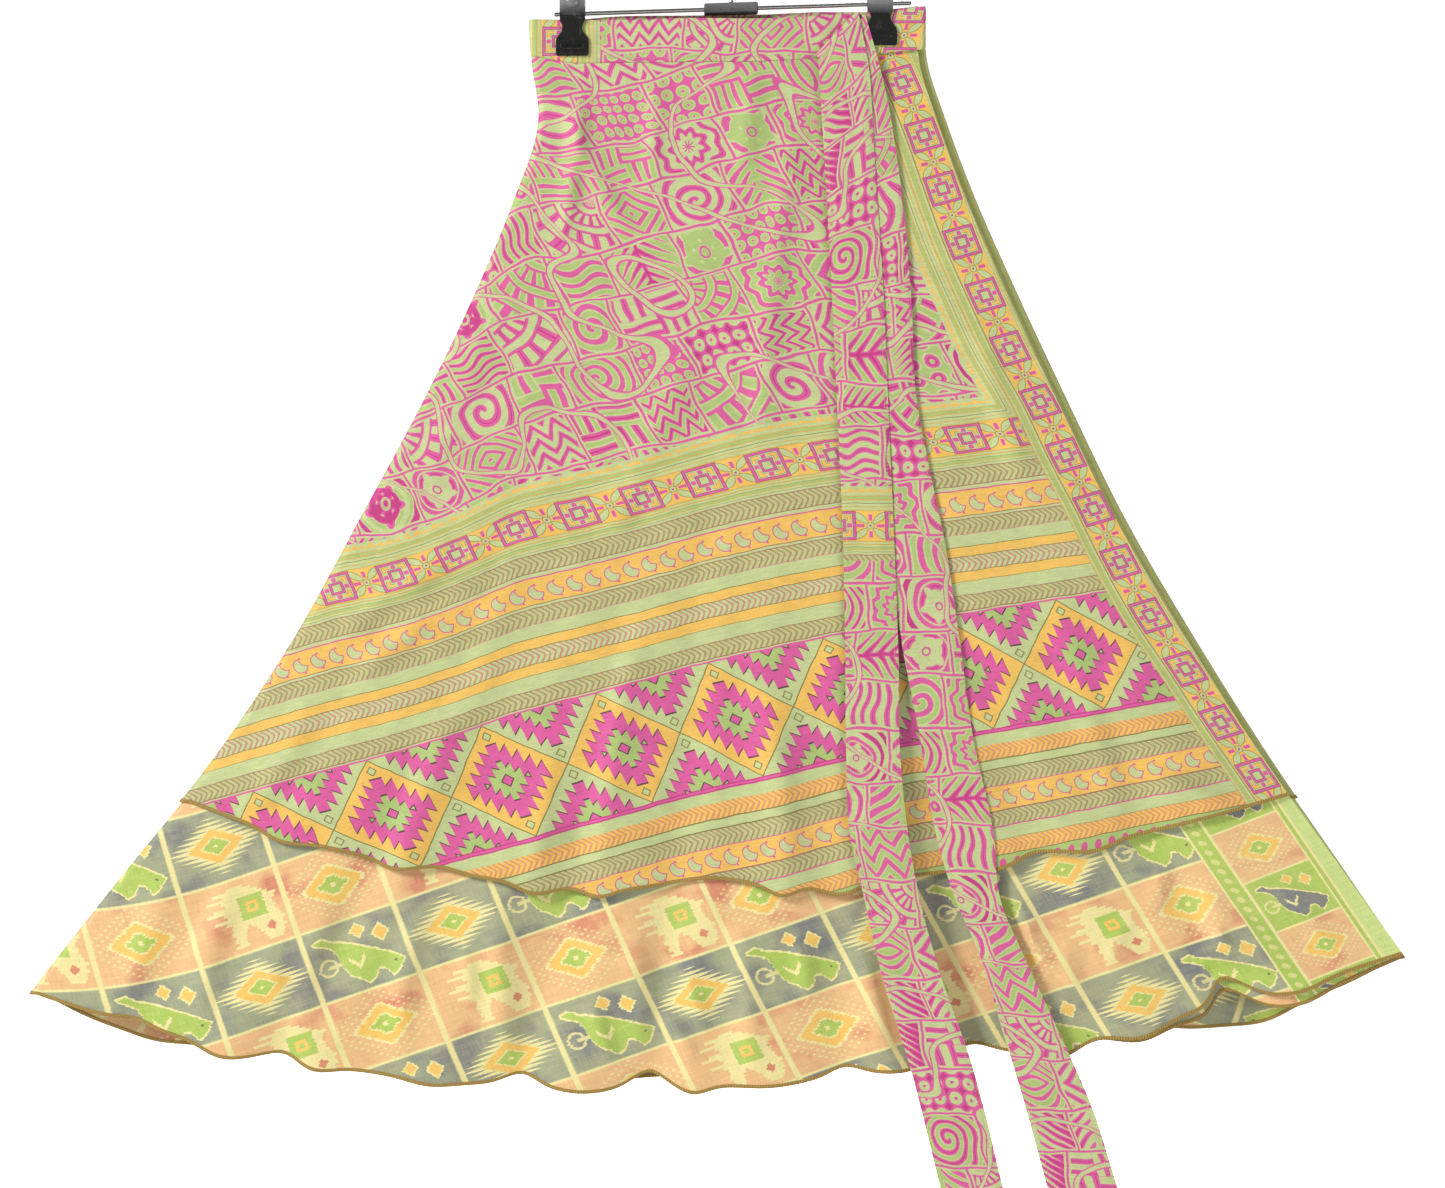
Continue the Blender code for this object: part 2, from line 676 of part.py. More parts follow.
def turned(name, profile, sides, centre, mat, hollow, tilt=0.0):
    """Pairs of (along, radius) turned round the x axis: a ring round a hole, or a bar with flat ends."""
    angles = np.linspace(0, 2 * math.pi, sides, endpoint=False)
    points = np.array([
        (along, radius * math.cos(angle), radius * math.sin(angle))
        for along, radius in profile for angle in angles
    ])
    points[:, 2] += points[:, 0] * math.tan(tilt)
    count = len(profile)
    faces = [] if hollow else [tuple(range(sides)), tuple(range((count - 1) * sides, count * sides))]
    for i in range(count if hollow else count - 1):
        start, following = i * sides, (i + 1) % count * sides
        for j in range(sides):
            k = (j + 1) % sides
            faces.append((start + j, start + k, following + k, following + j))
    return finish_mesh(name, points + np.array(centre), faces, mat)


def make_rod_and_block(steel, plastic):
    """The rod and the black block in its middle, which the hook stands in."""
    half = BLOCK_LENGTH / 2
    chamfer = 1.0
    hole = ROD_RADIUS + GAP
    turned("hanger_block", (
        (-half, hole), (-half, BLOCK_RADIUS - chamfer), (-half + chamfer, BLOCK_RADIUS),
        (half - chamfer, BLOCK_RADIUS), (half, BLOCK_RADIUS - chamfer), (half, hole),
    ), 20, (0, 0, ROD_AT_MIDDLE), plastic, hollow=True, tilt=ROD_SLOPE)
    left, right = ROD_ENDS
    tip, round_off = ROD_RADIUS * 0.6, 0.7
    turned("hanger_rod", (
        (left, tip), (left + round_off, ROD_RADIUS), (right - round_off, ROD_RADIUS), (right, tip),
    ), 12, (0, 0, ROD_AT_MIDDLE), steel, hollow=False, tilt=ROD_SLOPE)


def make_hook(steel):
    """Bent wire: a straight shaft, a sweep to the right, and a round hook over the origin."""
    radius = HOOK_INSIDE + HOOK_WIRE
    centre_z = -HOOK_INSIDE
    join = math.radians(-55)
    foot = ROD_AT_MIDDLE + BLOCK_RADIUS + GAP
    start = np.array([0.0, HOOK_NECK])
    end = np.array([radius * math.cos(join), centre_z + radius * math.sin(join)])
    pull = 9.0
    before = start + np.array([0.0, pull])
    after = end - pull * np.array([-math.sin(join), math.cos(join)])
    points = [(0.0, foot), (0.0, (foot + HOOK_NECK) / 2)]
    for t in np.linspace(0, 1, 8):
        lower = (1 - t) ** 3 * start + 3 * t * (1 - t) ** 2 * before
        upper = 3 * t * t * (1 - t) * after + t ** 3 * end
        points.append(tuple(lower + upper))
    for angle in np.linspace(join, math.radians(205), 26)[1:]:
        points.append((radius * math.cos(angle), centre_z + radius * math.sin(angle)))
    curve = bpy.data.curves.new("hanger_hook", "CURVE")
    curve.dimensions = "3D"
    curve.bevel_depth = HOOK_WIRE * MM
    curve.bevel_resolution = 2
    curve.use_fill_caps = True
    spline = curve.splines.new("POLY")
    spline.points.add(len(points) - 1)
    for point, (x, z) in zip(spline.points, points):
        point.co = (x * MM, 0, z * MM, 1)
    curve.materials.append(steel)
    obj = bpy.data.objects.new("hanger_hook", curve)
    bpy.context.scene.collection.objects.link(obj)


def leaf_grid(centre_x, hinge_z, jaw_y, band_top, out):
    """Middle of a clip's leaf: flat at the jaw, stepping in to the sleeve above the band."""
    grip = out * (SLEEVE_RADIUS + GAP + LEAF_WALL / 2)
    jaw = jaw_y + out * LEAF_WALL / 2
    heights = np.array([row.z for row in LEAF])
    halves = np.array([row.half for row in LEAF])
    rows = []
    for height, half in zip(heights, halves):
        z = hinge_z + height
        step = float(ease((z - band_top - 0.5) / (hinge_z - band_top - 1.0)))
        splay = out * LEAF_SPLAY * float(ease((height - SPLAY_FROM) / SPLAY_OVER))
        y = jaw + (grip - jaw) * step + splay
        rows.append([(centre_x + half * u, y, z) for u in np.linspace(-1, 1, 5)])
    return np.array(rows)


def make_clips(steel, plastic):
    """Two spring clips: a sleeve on the rod, a leaf before and behind, and a boss on each."""
    front_face = BACK_SHIFT - HOLLOW_PINCHED - FRONT_BAND - BAND_WALL / 2
    back_face = BACK_SHIFT + HOLLOW_PINCHED + INNER_BAND + BAND_WALL / 2
    left_end, right_end = (plan(np.array([s]), np.array([0.0]))[0][0] for s in (0.0, 1.0))
    half, hole = SLEEVE_LENGTH / 2, ROD_RADIUS + GAP
    sleeve = ((-half, hole), (-half, SLEEVE_RADIUS), (half, SLEEVE_RADIUS), (half, hole))
    for side, x in CLIP_X.items():
        hinge = rod_z(x)
        over_ties = 2 * (TIE_WALL + GAP) if side == "right" else 0.0
        reach_over = (x + np.array([-LEAF[3].half, 0.0, LEAF[3].half]) - left_end) / (right_end - left_end)
        top = float(smooth(reach_over, BAND, "s", "front_top").max())
        turned(f"clip_{side}_sleeve", sleeve, 16, (x, 0, hinge), steel, hollow=True, tilt=ROD_SLOPE)
        faces = (("front", -1, front_face - over_ties), ("back", 1, back_face))
        for face, out, band_y in faces:
            grid = leaf_grid(x, hinge, band_y + out * GAP, top, out)
            wall(f"clip_{side}_{face}", grid, LEAF_WALL, plastic)
            seat = out * (SLEEVE_RADIUS + GAP + LEAF_WALL + GAP)
            dome = tuple((out * rise, BOSS_RADIUS * share) for rise, share in BOSS_DOME)
            boss = turned(f"clip_{side}_{face}_boss", dome, 14, (0, 0, 0), plastic, hollow=False)
            turn_to_y(boss, (x, seat, hinge + BOSS_RISE))


def turn_to_y(obj, place):
    """Turn a piece made along x so that it stands along y, and put it in its place."""
    for vertex in obj.data.vertices:
        along, across, up = vertex.co
        vertex.co = (-across + place[0] * MM, along + place[1] * MM, up + place[2] * MM)


def main():
    for obj in list(bpy.data.objects):
        bpy.data.objects.remove(obj, do_unlink=True)
    printed = material("printed_cloth", (0.58, 0.28, 0.30), 0.8)
    under = material("under_cloth", (0.55, 0.40, 0.27), 0.75)
    steel = material("steel", (0.62, 0.62, 0.60), 0.25, 1.0)
    plastic = material("black_plastic", (0.02, 0.02, 0.02), 0.4)
    make_skirt(printed, under)
    make_bands(printed)
    make_ties(printed)
    make_rod_and_block(steel, plastic)
    make_hook(steel)
    make_clips(steel, plastic)


main()
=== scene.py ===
"""Looks of a two-layer wrap skirt that hangs flat from a clip hanger.

Lengths in this file are millimetres, and MM turns them into Blender's metres. The frame is the
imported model's: +Z up, the front facing -Y, the origin at the inside top of the hanger's hook.

Every cloth lies on one plan. The plan's coordinates are s, from 0 at the left fold to 1 at the
right fold, and w, from 0 at the waist seam to 1 at the plain curve of the under cloth's hem.
"""
from __future__ import annotations

import logging
import math
from dataclasses import dataclass, field
from enum import Enum
from typing import Any, Callable, Mapping, NamedTuple, Sequence, Union

import bpy
import numpy as np
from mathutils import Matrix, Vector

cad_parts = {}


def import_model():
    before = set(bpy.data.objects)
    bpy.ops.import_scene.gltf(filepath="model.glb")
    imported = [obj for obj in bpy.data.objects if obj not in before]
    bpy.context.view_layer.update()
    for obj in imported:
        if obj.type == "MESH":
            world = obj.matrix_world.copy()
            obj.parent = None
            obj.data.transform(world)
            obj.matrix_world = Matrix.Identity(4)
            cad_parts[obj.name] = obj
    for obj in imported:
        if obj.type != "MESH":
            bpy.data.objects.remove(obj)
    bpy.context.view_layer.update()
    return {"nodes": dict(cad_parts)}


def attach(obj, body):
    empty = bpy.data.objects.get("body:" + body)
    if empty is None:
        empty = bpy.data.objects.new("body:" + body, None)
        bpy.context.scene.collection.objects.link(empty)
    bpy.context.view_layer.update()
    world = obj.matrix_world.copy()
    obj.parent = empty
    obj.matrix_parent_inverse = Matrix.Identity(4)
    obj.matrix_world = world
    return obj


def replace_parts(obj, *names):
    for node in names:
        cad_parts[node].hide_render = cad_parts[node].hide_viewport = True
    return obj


LOG = logging.getLogger("wrap_skirt")
MM = 0.001
BODY = "root"
CREASE_DEPTH = 2.3

Array = np.ndarray
Operand = Union["Value", float, int]


class Face(Enum):
    """Which way a stretch of cloth faces, valued with that way along y."""

    FRONT = -1
    BACK = 1


class Side(Enum):
    """A side fold, valued with the way out of the skirt along x."""

    LEFT = -1
    RIGHT = 1

    @property
    def place(self) -> float:
        """s at the fold."""
        return 0.5 + 0.5 * self.value


class Cloth(Enum):
    """The two cloths of the skirt."""

    UPPER = "upper"
    UNDER = "under"


class Hem(NamedTuple):
    """A plain hem curve: its ends, its drop in the middle and the drop's lean to the left."""

    left: float
    right: float
    drop: float
    lean: float


class Layer(NamedTuple):
    """How far a cloth's middle lies from the wearer's hollow, at the waist and below it."""

    waist: float
    below: float


class Slant(NamedTuple):
    """The two ends of a tie's slanted fold."""

    low_x: float
    low_z: float
    high_x: float
    high_z: float


class Table:
    """Rows of numbers under named columns; the first column says where each row stands."""

    def __init__(self, columns: str, *rows: Sequence[float]) -> None:
        """Keep the rows in order of their places.

        Args:
            columns: their names, with the places' first.
            rows: the numbers of each row.
        """
        self.rows = sorted(rows)
        self.columns = dict(zip(columns.split(), np.array(self.rows, float).T))
        self.places = self.columns[columns.split()[0]]

    def at(self, x: Array, column: str) -> Array:
        """Value at x on the smooth curve through a column: cubic, with the rows' own slopes.

        Args:
            x: places along the first column.
            column: name of the column that is read.

        Returns:
            The curve's value at each x, held at the table's ends.
        """
        xs, ys = self.places, self.columns[column]
        slopes = np.gradient(ys, xs)
        x = np.clip(x, xs[0], xs[-1])
        i = np.clip(np.searchsorted(xs, x, side="right") - 1, 0, len(xs) - 2)
        h = xs[i + 1] - xs[i]
        t = (x - xs[i]) / h
        start = (1 + 2 * t) * (1 - t) ** 2 * ys[i] + t * (1 - t) ** 2 * h * slopes[i]
        end = t * t * (3 - 2 * t) * ys[i + 1] - t * t * (1 - t) * h * slopes[i + 1]
        return start + end

    def bells(self, s: Array, column: str) -> Array:
        """Sum over the rows of a bell: the column's value times exp(-((s - place) / half)^2)."""
        shares = np.exp(-((s[..., None] - self.places) / self.columns["half"]) ** 2)
        return (self.columns[column] * shares).sum(axis=-1)


# Both sides of the folded skirt
SIDES = Table(
    "z left right",
    (-78, -174, 167), (-127, -171, 168), (-178, -165, 184), (-247, -186, 210), (-315, -214, 240),
    (-418, -263, 288), (-520, -318, 338), (-623, -375, 398), (-726, -444, 463), (-828, -526, 533),
    (-925, -602, 598), (-960, -628, 618),
)
# The waistband's top in front and behind, and its seam
BAND = Table(
    "s front_top back_top seam",
    (0, -93, -93, -124.6), (0.08, -93.3, -93, -129.6), (0.2, -93.8, -89.5, -129.9),
    (0.4, -92.4, -88, -129.7), (0.6, -92.5, -87, -129), (0.72, -90.4, -85.5, -126.2),
    (0.85, -87, -85.5, -122.4), (0.92, -84.3, -84.6, -120.4), (1, -81.2, -81.5, -117.7),
)
UNDER_HEM = Hem(-925, -892, 93.5, 0.28)
UPPER_HEM = Hem(-761, -755, 78.5, 0.25)
# How much lower than the front hem the back and the underlap hang
LOWER = Table(
    "s back underlap",
    (0, 0, 0), (0.05, 8, 0), (0.12, 6, -3), (0.25, -4, -5), (0.5, -6, -5), (0.74, -3, -3), (0.82, 12, 4),
    (0.88, 20, 10), (0.95, 13, 8), (1, 3, 3),
)
# Folds at the hems: half width along s, rise of the hem and stand forward
UNDER_FOLDS = Table(
    "s half rise forward",
    (0.069, 0.016, 5, -4), (0.14, 0.022, -8, 5), (0.178, 0.014, 5, -3), (0.207, 0.016, -5, 3),
    (0.29, 0.024, -5, 4.5), (0.353, 0.016, 10, -5), (0.4, 0.024, -4, 4.5), (0.447, 0.016, 13, -5),
    (0.482, 0.014, -6, 3), (0.538, 0.03, -4, 5), (0.592, 0.015, 7, -4), (0.632, 0.02, -3, 3),
    (0.686, 0.018, 11, -5), (0.745, 0.022, -12, 6), (0.805, 0.024, -10, 5), (0.877, 0.016, 20, -5),
    (0.925, 0.024, -6, 4.5),
)
UPPER_FOLDS = Table(
    "s half rise forward",
    (0.09, 0.026, -6, 1.5), (0.195, 0.02, -5, 1.5), (0.235, 0.02, 3, -0.8), (0.325, 0.022, -8, 2),
    (0.382, 0.018, -7, 1.5), (0.48, 0.05, 11, -1), (0.548, 0.016, -8, 1.5), (0.6, 0.022, -9, 2),
    (0.734, 0.03, -5, 1.5), (0.775, 0.018, 4, -0.8), (0.826, 0.022, -5, 1.5),
)
BACK_FOLDS = Table(
    "s half rise forward",
    (0.09, 0.022, -4, 4), (0.165, 0.024, 6, -4), (0.24, 0.024, -5, 4.5), (0.33, 0.026, 7, -4.5),
    (0.415, 0.026, -4, 5), (0.5, 0.022, 8, -4), (0.57, 0.026, -5, 4.5), (0.655, 0.024, 8, -4.5),
    (0.735, 0.026, -5, 5), (0.815, 0.022, 6, -4), (0.895, 0.022, -5, 4),
)
# Both edges of the hanging ties
FRONT_TIE = Table(
    "z left right",
    (-89, 72.7, 108.6), (-130, 74.5, 116.5), (-213, 79.5, 122.2), (-333, 86, 130), (-418, 90, 133.5),
    (-533, 95, 138.5), (-640, 97, 142.3), (-720, 97.6, 143.5), (-786, 100.5, 150), (-845, 113.5, 160.5),
    (-908, 128, 178), (-976, 149, 202), (-1099, 180.3, 233.3),
)
UNDER_TIE = Table(
    "z left right",
    (-88, 77, 113.8), (-126, 79, 124.6), (-157, 90, 132.2), (-213, 100, 141.5), (-333, 115, 153.5),
    (-418, 128.5, 158), (-468, 134, 167), (-541, 136, 182), (-621, 144.5, 194), (-704, 160, 205.2),
    (-786, 173.5, 222.5), (-845, 191, 229), (-888, 210, 247), (-951, 229, 276), (-1014, 248, 304),
    (-1097, 270.6, 330.4),
)
# Lower and upper edge of the ties' level run along the band
TIE_RUN = Table(
    "x low high", (108, -125.4, -89), (124, -123.8, -87), (140, -121.6, -84.8), (170, -118.2, -81.6)
)
FRONT_SLANT = Slant(72.7, -126.3, 108.6, -89.5)
UNDER_SLANT = Slant(77.5, -127.6, 113.8, -90.3)

# Soft ridges from (x, z) to (to_x, to_z), half wide, standing out by rise and bowed sideways
CREASE_COLUMNS = "x z to_x to_z half rise bow"
# Creases of the upper cloth: three from the clips, long ones down the cloth, small ones by the hem
UPPER_CREASES = Table(
    CREASE_COLUMNS,
    (-232, -555, -343, -623, 11, 2.6, 4), (-250, -600, -330, -655, 9, 1.8, -3),
    (-150, -150, -78, -290, 9, 1.7, 5), (-128, -138, -148, -300, 8, 1.9, -4),
    (-165, -170, -235, -330, 10, 1.6, 4), (-60, -134, -66, -250, 9, 1.3, 3),
    (18, -132, 4, -240, 10, 1.4, -3), (62, -150, 24, -500, 12, 1.6, 8),
    (-180, -300, -262, -500, 15, 1.8, 9), (-35, -340, -118, -560, 15, 1.6, -10),
    (-78, -600, -116, -840, 14, 2.4, 5), (20, -640, 52, -845, 14, 2.2, -6),
    (-225, -660, -285, -830, 14, 2.2, 7), (-350, -650, -420, -790, 12, 2, -6),
    (-150, -700, -178, -845, 11, 1.8, -4), (150, -600, 196, -815, 13, 2.2, 6),
    (262, -560, 333, -800, 13, 2, -7), (205, -330, 262, -520, 11, 1.4, 4),
    (350, -735, 439, -765, 9, 2.4, 3), (-60, -420, 30, -455, 10, 1, 2),
    (-230, -440, -120, -400, 12, 1.1, -4),
)
# Creases of the under cloth where it shows below the upper one
UNDER_CREASES = Table(
    CREASE_COLUMNS,
    (-196, -830, -187, -1000, 12, 2.8, 4), (-84, -850, -78, -1000, 12, 2.6, -4),
    (-335, -830, -369, -985, 13, 2.8, 5), (-480, -800, -525, -945, 12, 2.4, -5),
    (-420, -800, -454, -968, 12, 2.6, 5), (120, -870, 132, -995, 12, 2.4, 4),
    (205, -830, 226, -972, 12, 2.8, -4), (330, -868, 478, -900, 11, 3.2, -6),
    (405, -820, 433, -918, 9, 3, 4), (5, -850, 18, -1005, 11, 2.4, -3),
    (-262, -830, -283, -996, 11, 2.4, 4), (462, -820, 530, -900, 11, 2.2, 4),
    (-130, -880, -60, -905, 9, 1.6, 3), (250, -880, 330, -935, 9, 2.2, 4),
    (372, -800, 352, -862, 7, 2.4, -4), (352, -846, 318, -905, 6, 2, 5),
    (410, -856, 452, -880, 6, 2.2, -5), (300, -810, 340, -790, 7, 1.8, 3),
    (236, -836, 262, -902, 6, 2, -4), (392, -905, 420, -868, 6, 2.4, 4), (286, -868, 300, -938, 7, 2, 5),
    (486, -800, 520, -850, 6, 1.8, -3), (-40, -895, -14, -960, 7, 2.2, 5),
    (-62, -940, -30, -985, 6, 2.6, -4), (-118, -925, -96, -988, 6, 2.4, 4),
    (52, -870, 66, -935, 7, 2, -4), (-395, -890, -372, -930, 6, 2, 4),
    (-448, -870, -470, -905, 6, 1.8, -3), (-560, -850, -548, -885, 7, 2, 3),
    (-300, -905, -262, -935, 7, 1.8, 4), (-230, -880, -222, -940, 6, 2, -3),
)
# Creases of the back, seen with x to the right from the front
BACK_CREASES = Table(
    CREASE_COLUMNS,
    (240, -500, 350, -640, 13, 2.4, 5), (120, -150, 60, -300, 9, 1.7, -5),
    (-120, -150, -165, -310, 9, 1.8, 4), (-20, -140, -40, -330, 10, 1.5, 3),
    (60, -330, 130, -560, 14, 1.8, -8), (-100, -360, -190, -600, 15, 2, 8),
    (-230, -620, -320, -820, 14, 2.4, -6), (-60, -600, -80, -840, 14, 2.3, 5),
    (110, -620, 150, -830, 14, 2.4, -5), (290, -650, 370, -800, 13, 2.2, 6),
    (-380, -700, -470, -880, 12, 2, -5),
)

# The upper cloth's print: its squares' count, heights of both rows, and lean of its threads
THREADS = Table(
    "x count squares stars lean",
    (-560, -4.35, -651, -845, 0.43), (-470, -2.6, -622, -821, 0.42), (-336, 0, -579, -785.5, 0.432),
    (-285, 1, -568, -771, 0.452), (-234, 2, -550, -757, 0.471), (-184, 3, -528, -742, 0.483),
    (-130, 4, -515, -726.8, 0.492), (-76, 5, -502, -712.3, 0.487), (-23, 6, -487, -697.8, 0.48),
    (31, 7, -474, -686, 0.474), (86, 8, -465, -673.2, 0.466), (143, 9, -458, -661.5, 0.455),
    (201, 10, -451, -652.6, 0.441), (256, 11, -444, -643.6, 0.427), (384, 13.3, -429, -622, 0.4),
    (520, 15.7, -413, -600, 0.4),
)
# The column of squares beside the free edge
COLUMN = Table(
    "z x",
    (-80, 120), (-131, 139), (-147, 146), (-194, 165), (-237, 180), (-286, 198), (-334, 219), (-381, 241),
    (-421, 264), (-469, 287), (-513, 310), (-561, 334), (-607, 360), (-647, 387), (-693, 417),
    (-738, 448), (-800, 490),
)


def between(first: Array, second: Array, share: Array) -> Array:
    """The first where the share is 0, the second where it is 1."""
    return first + (second - first) * share


def ease(t: Array) -> Array:
    """Soft step: 3t^2 - 2t^3, held at 0 and 1."""
    t = np.clip(t, 0.0, 1.0)
    return t * t * (3 - 2 * t)


def stacked(*parts: Array) -> Array:
    """Arrays stretched to one shape, side by side along a new last axis."""
    return np.stack(np.broadcast_arrays(*parts), -1)


def unit(ways: Array) -> Array:
    """Directions at length one."""
    return ways / np.linalg.norm(ways, axis=-1, keepdims=True)


def travel(line: Array) -> Array:
    """Distance along a line of points, from 0 at its start."""
    return np.concatenate([[0.0], np.cumsum(np.linalg.norm(np.diff(line, axis=0), axis=-1))])


def read(line: Array, along: Array, t: Array) -> Array:
    """Rows of three numbers, given at places along a line, read at the places t."""
    return np.stack([np.interp(t, along, line[:, i]) for i in range(3)], -1)


def inside(s: Array) -> Array:
    """0 at the side folds, 1 from an eighth of the width inwards, rounding over between."""
    reach = np.clip(np.minimum(s, 1 - s) / 0.12, 0.0, 1.0)
    return 1 - (1 - reach) ** 2


def ridges(x: Array, z: Array, creases: Table) -> Array:
    """Sum over the creases of rise times a bell across the crease's bowed line, faded at its ends.

    Args:
        x: places across.
        z: heights.
        creases: the ridges, each from a start to an end.

    Returns:
        How far the cloth stands out.
    """
    total = np.zeros_like(x)
    for from_x, from_z, to_x, to_z, half, rise, bow in creases.rows:
        dx, dz = to_x - from_x, to_z - from_z
        length = math.hypot(dx, dz)
        t = ((x - from_x) * dx + (z - from_z) * dz) / length ** 2
        off = ((x - from_x) * dz - (z - from_z) * dx) / length - bow * 4 * t * (1 - t)
        bell = np.exp(-(off / half) ** 2)
        total += CREASE_DEPTH * rise * bell * ease(t / 0.35) * ease((1 - t) / 0.35)
    return total


def covered(x: Array, z: Array) -> Array:
    """1 behind the ties, easing to 0 at 14 mm beside them: creases don't press through a tie."""
    right = np.maximum(FRONT_TIE.at(z, "right"), UNDER_TIE.at(z, "right"))
    return ease(np.minimum(x - FRONT_TIE.at(z, "left"), right - x) / 14.0 + 1)


def ripple(x: Array, z: Array) -> Array:
    """Slight unevenness of light silk, from 0 up: three crossing sine waves of unlike lengths.

    Args:
        x: places across, in mm.
        z: heights, in mm.

    Returns:
        heights in mm.
    """
    first = np.sin(x / 17.0 + 1.7 * np.sin(z / 61.0))
    second = np.sin(z / 23.0 + 1.3 * np.sin(x / 47.0 + 0.6))
    third = np.sin((x + 0.8 * z) / 11.0 + np.sin(z / 37.0))
    return 0.30 + 0.14 * first + 0.10 * second + 0.06 * third


@dataclass(frozen=True)
class Plan:
    """The folded skirt's plan: where a point of any cloth lies, from its s and w."""

    wall: float = 1.0
    gap: float = 0.3
    back_shift: float = 2.1
    pinched: float = 0.35
    waist_swell: float = 3.6
    hem_side: float = 4.0
    hem_swell: float = 6.0
    clip_from: float = 0.12
    clip_to: float = 0.88
    spread_over: float = 0.10
    fold_fade: float = 2.6
    upper_lift: float = 3.0
    lift_from: float = 0.45
    lift_full: float = 0.80
    front_end: float = 0.985
    front_end_hem: float = 1.003
    underlap_start: float = 0.15
    left_joint: float = 0.02
    right_joint: float = 0.98
    turn_steps: int = 14
    band_wall: float = 2.3
    front_band: float = 5.35
    inner_band: float = 1.15
    inner: Layer = Layer(0.5, 0.5)
    outer: Layer = Layer(1.8, 2.9)
    front_under: Layer = Layer(4.7, 5.3)
    front_upper: Layer = Layer(6.0, 7.7)

    def half_hollow(self, s: Array, w: Array) -> Array:
        """Half the hollow's depth: at the waist a squared sine between the clips, at the hem even.

        Args:
            s: places across.
            w: places down.

        Returns:
            half depths in mm.
        """
        along = np.clip((s - self.clip_from) / (self.clip_to - self.clip_from), 0.0, 1.0)
        waist = self.pinched + self.waist_swell * np.sin(math.pi * along) ** 2
        return between(waist, self.hem_side + self.hem_swell * inside(s), w)

    def layer(self, spec: Layer, w: Array) -> Array:
        """A cloth's distance from the hollow, eased from its waist value to its value below."""
        return between(spec.waist, spec.below, ease(w / self.spread_over))

    def plain_hem(self, hem: Hem, s: Array) -> Array:
        """A hem without folds: a line between its ends less a leaning parabola."""
        drop = 4 * s * (1 - s) * hem.drop * (1 - hem.lean * (s - 0.5))
        return between(hem.left, hem.right, s) - drop

    def across(self, s: Array, z_left: Array, z_right: Array, w: Array) -> Array:
        """x at s on the row that meets the left fold at z_left and the right fold at z_right.

        Args:
            s: places across.
            z_left: the rows' heights at the left fold.
            z_right: at the right fold.
            w: places down.

        Returns:
            x in mm.
        """
        pinch, outer = self.half_hollow(0 * s, w), self.layer(self.outer, w)
        left = SIDES.at(z_left, "left") + pinch + (self.layer(self.front_upper, w) + outer + self.wall) / 2
        right = SIDES.at(z_right, "right") - pinch - outer - self.wall / 2
        return between(left, right, s)

    def point(self, s: Array, w: Array) -> tuple[Array, Array]:
        """x and z: rows run from the seam (w = 0) to the under cloth's plain hem (w = 1).

        Args:
            s: places across.
            w: places down.

        Returns:
            x and z in mm.
        """
        z_left = between(BAND.at(0 * s, "seam"), UNDER_HEM.left, w)
        z_right = between(BAND.at(0 * s + 1, "seam"), UNDER_HEM.right, w)
        z = between(BAND.at(s, "seam"), self.plain_hem(UNDER_HEM, s), w)
        return self.across(s, z_left, z_right, w), z

    def reach(self, s: Array, hem_z: Array) -> Array:
        """w at which a hem of height hem_z lies."""
        seam = BAND.at(s, "seam")
        return (seam - hem_z) / (seam - self.plain_hem(UNDER_HEM, s))

    def depth(self, face: Face, s: Array, w: Array, offset: Array) -> Array:
        """y in front of or behind the hollow, with its folds' waves, which grow towards the hem.

        Args:
            face: front or back.
            s: places across.
            w: places down.
            offset: how far outside the hollow, in mm.

        Returns:
            y in mm.
        """
        folds = UNDER_FOLDS if face is Face.FRONT else BACK_FOLDS
        waves = folds.bells(s, "forward") * w ** self.fold_fade * inside(s)
        return self.back_shift + face.value * (self.half_hollow(s, w) + offset + waves)

    def stand(self, s: Array, w: Array, waves: Array) -> Array:
        """How far an upper cloth stands off the one below it, eased in towards its hem."""
        rise = ease((w - self.lift_from) / (self.lift_full - self.lift_from))
        return rise * inside(s) * (self.upper_lift + waves)

    def lay(self, face: Face, s: Array, w: Array, layer: Layer) -> Array:
        """Points of a plain stretch of one of the cloths."""
        x, z = self.point(s, w)
        return np.stack([x, self.depth(face, s, w, self.layer(layer, w)), z], -1)

    def turn(self, side: Side, w: Array, front: Array, back: Array) -> Array:
        """Points round a side fold: a half circle from the front to the back, without its ends.

        Args:
            side: the left or right fold.
            w: places down.
            front: offset of the layer in front.
            back: offset of the layer behind.

        Returns:
            the points, with a column for each step of the turn.
        """
        theta = np.linspace(0, math.pi, self.turn_steps + 1)[None, 1:-1]
        s = np.full_like(w, side.place)
        x, z = self.point(s, w)
        y_front, y_back = self.depth(Face.FRONT, s, w, front), self.depth(Face.BACK, s, w, back)
        radius = (y_back - y_front) / 2
        y = (y_front + y_back) / 2 - radius * np.cos(theta)
        return np.stack([x + side.value * radius * np.sin(theta), y, z], -1)

    def joint(self, s: Array, w: Array, direction: Array) -> Array:
        """s beyond a seam gap from s, which is as wide on every row."""
        width = self.point(0 * w + 1, w)[0] - self.point(0 * w, w)[0]
        return s + direction * self.gap / width


PLAN = Plan()


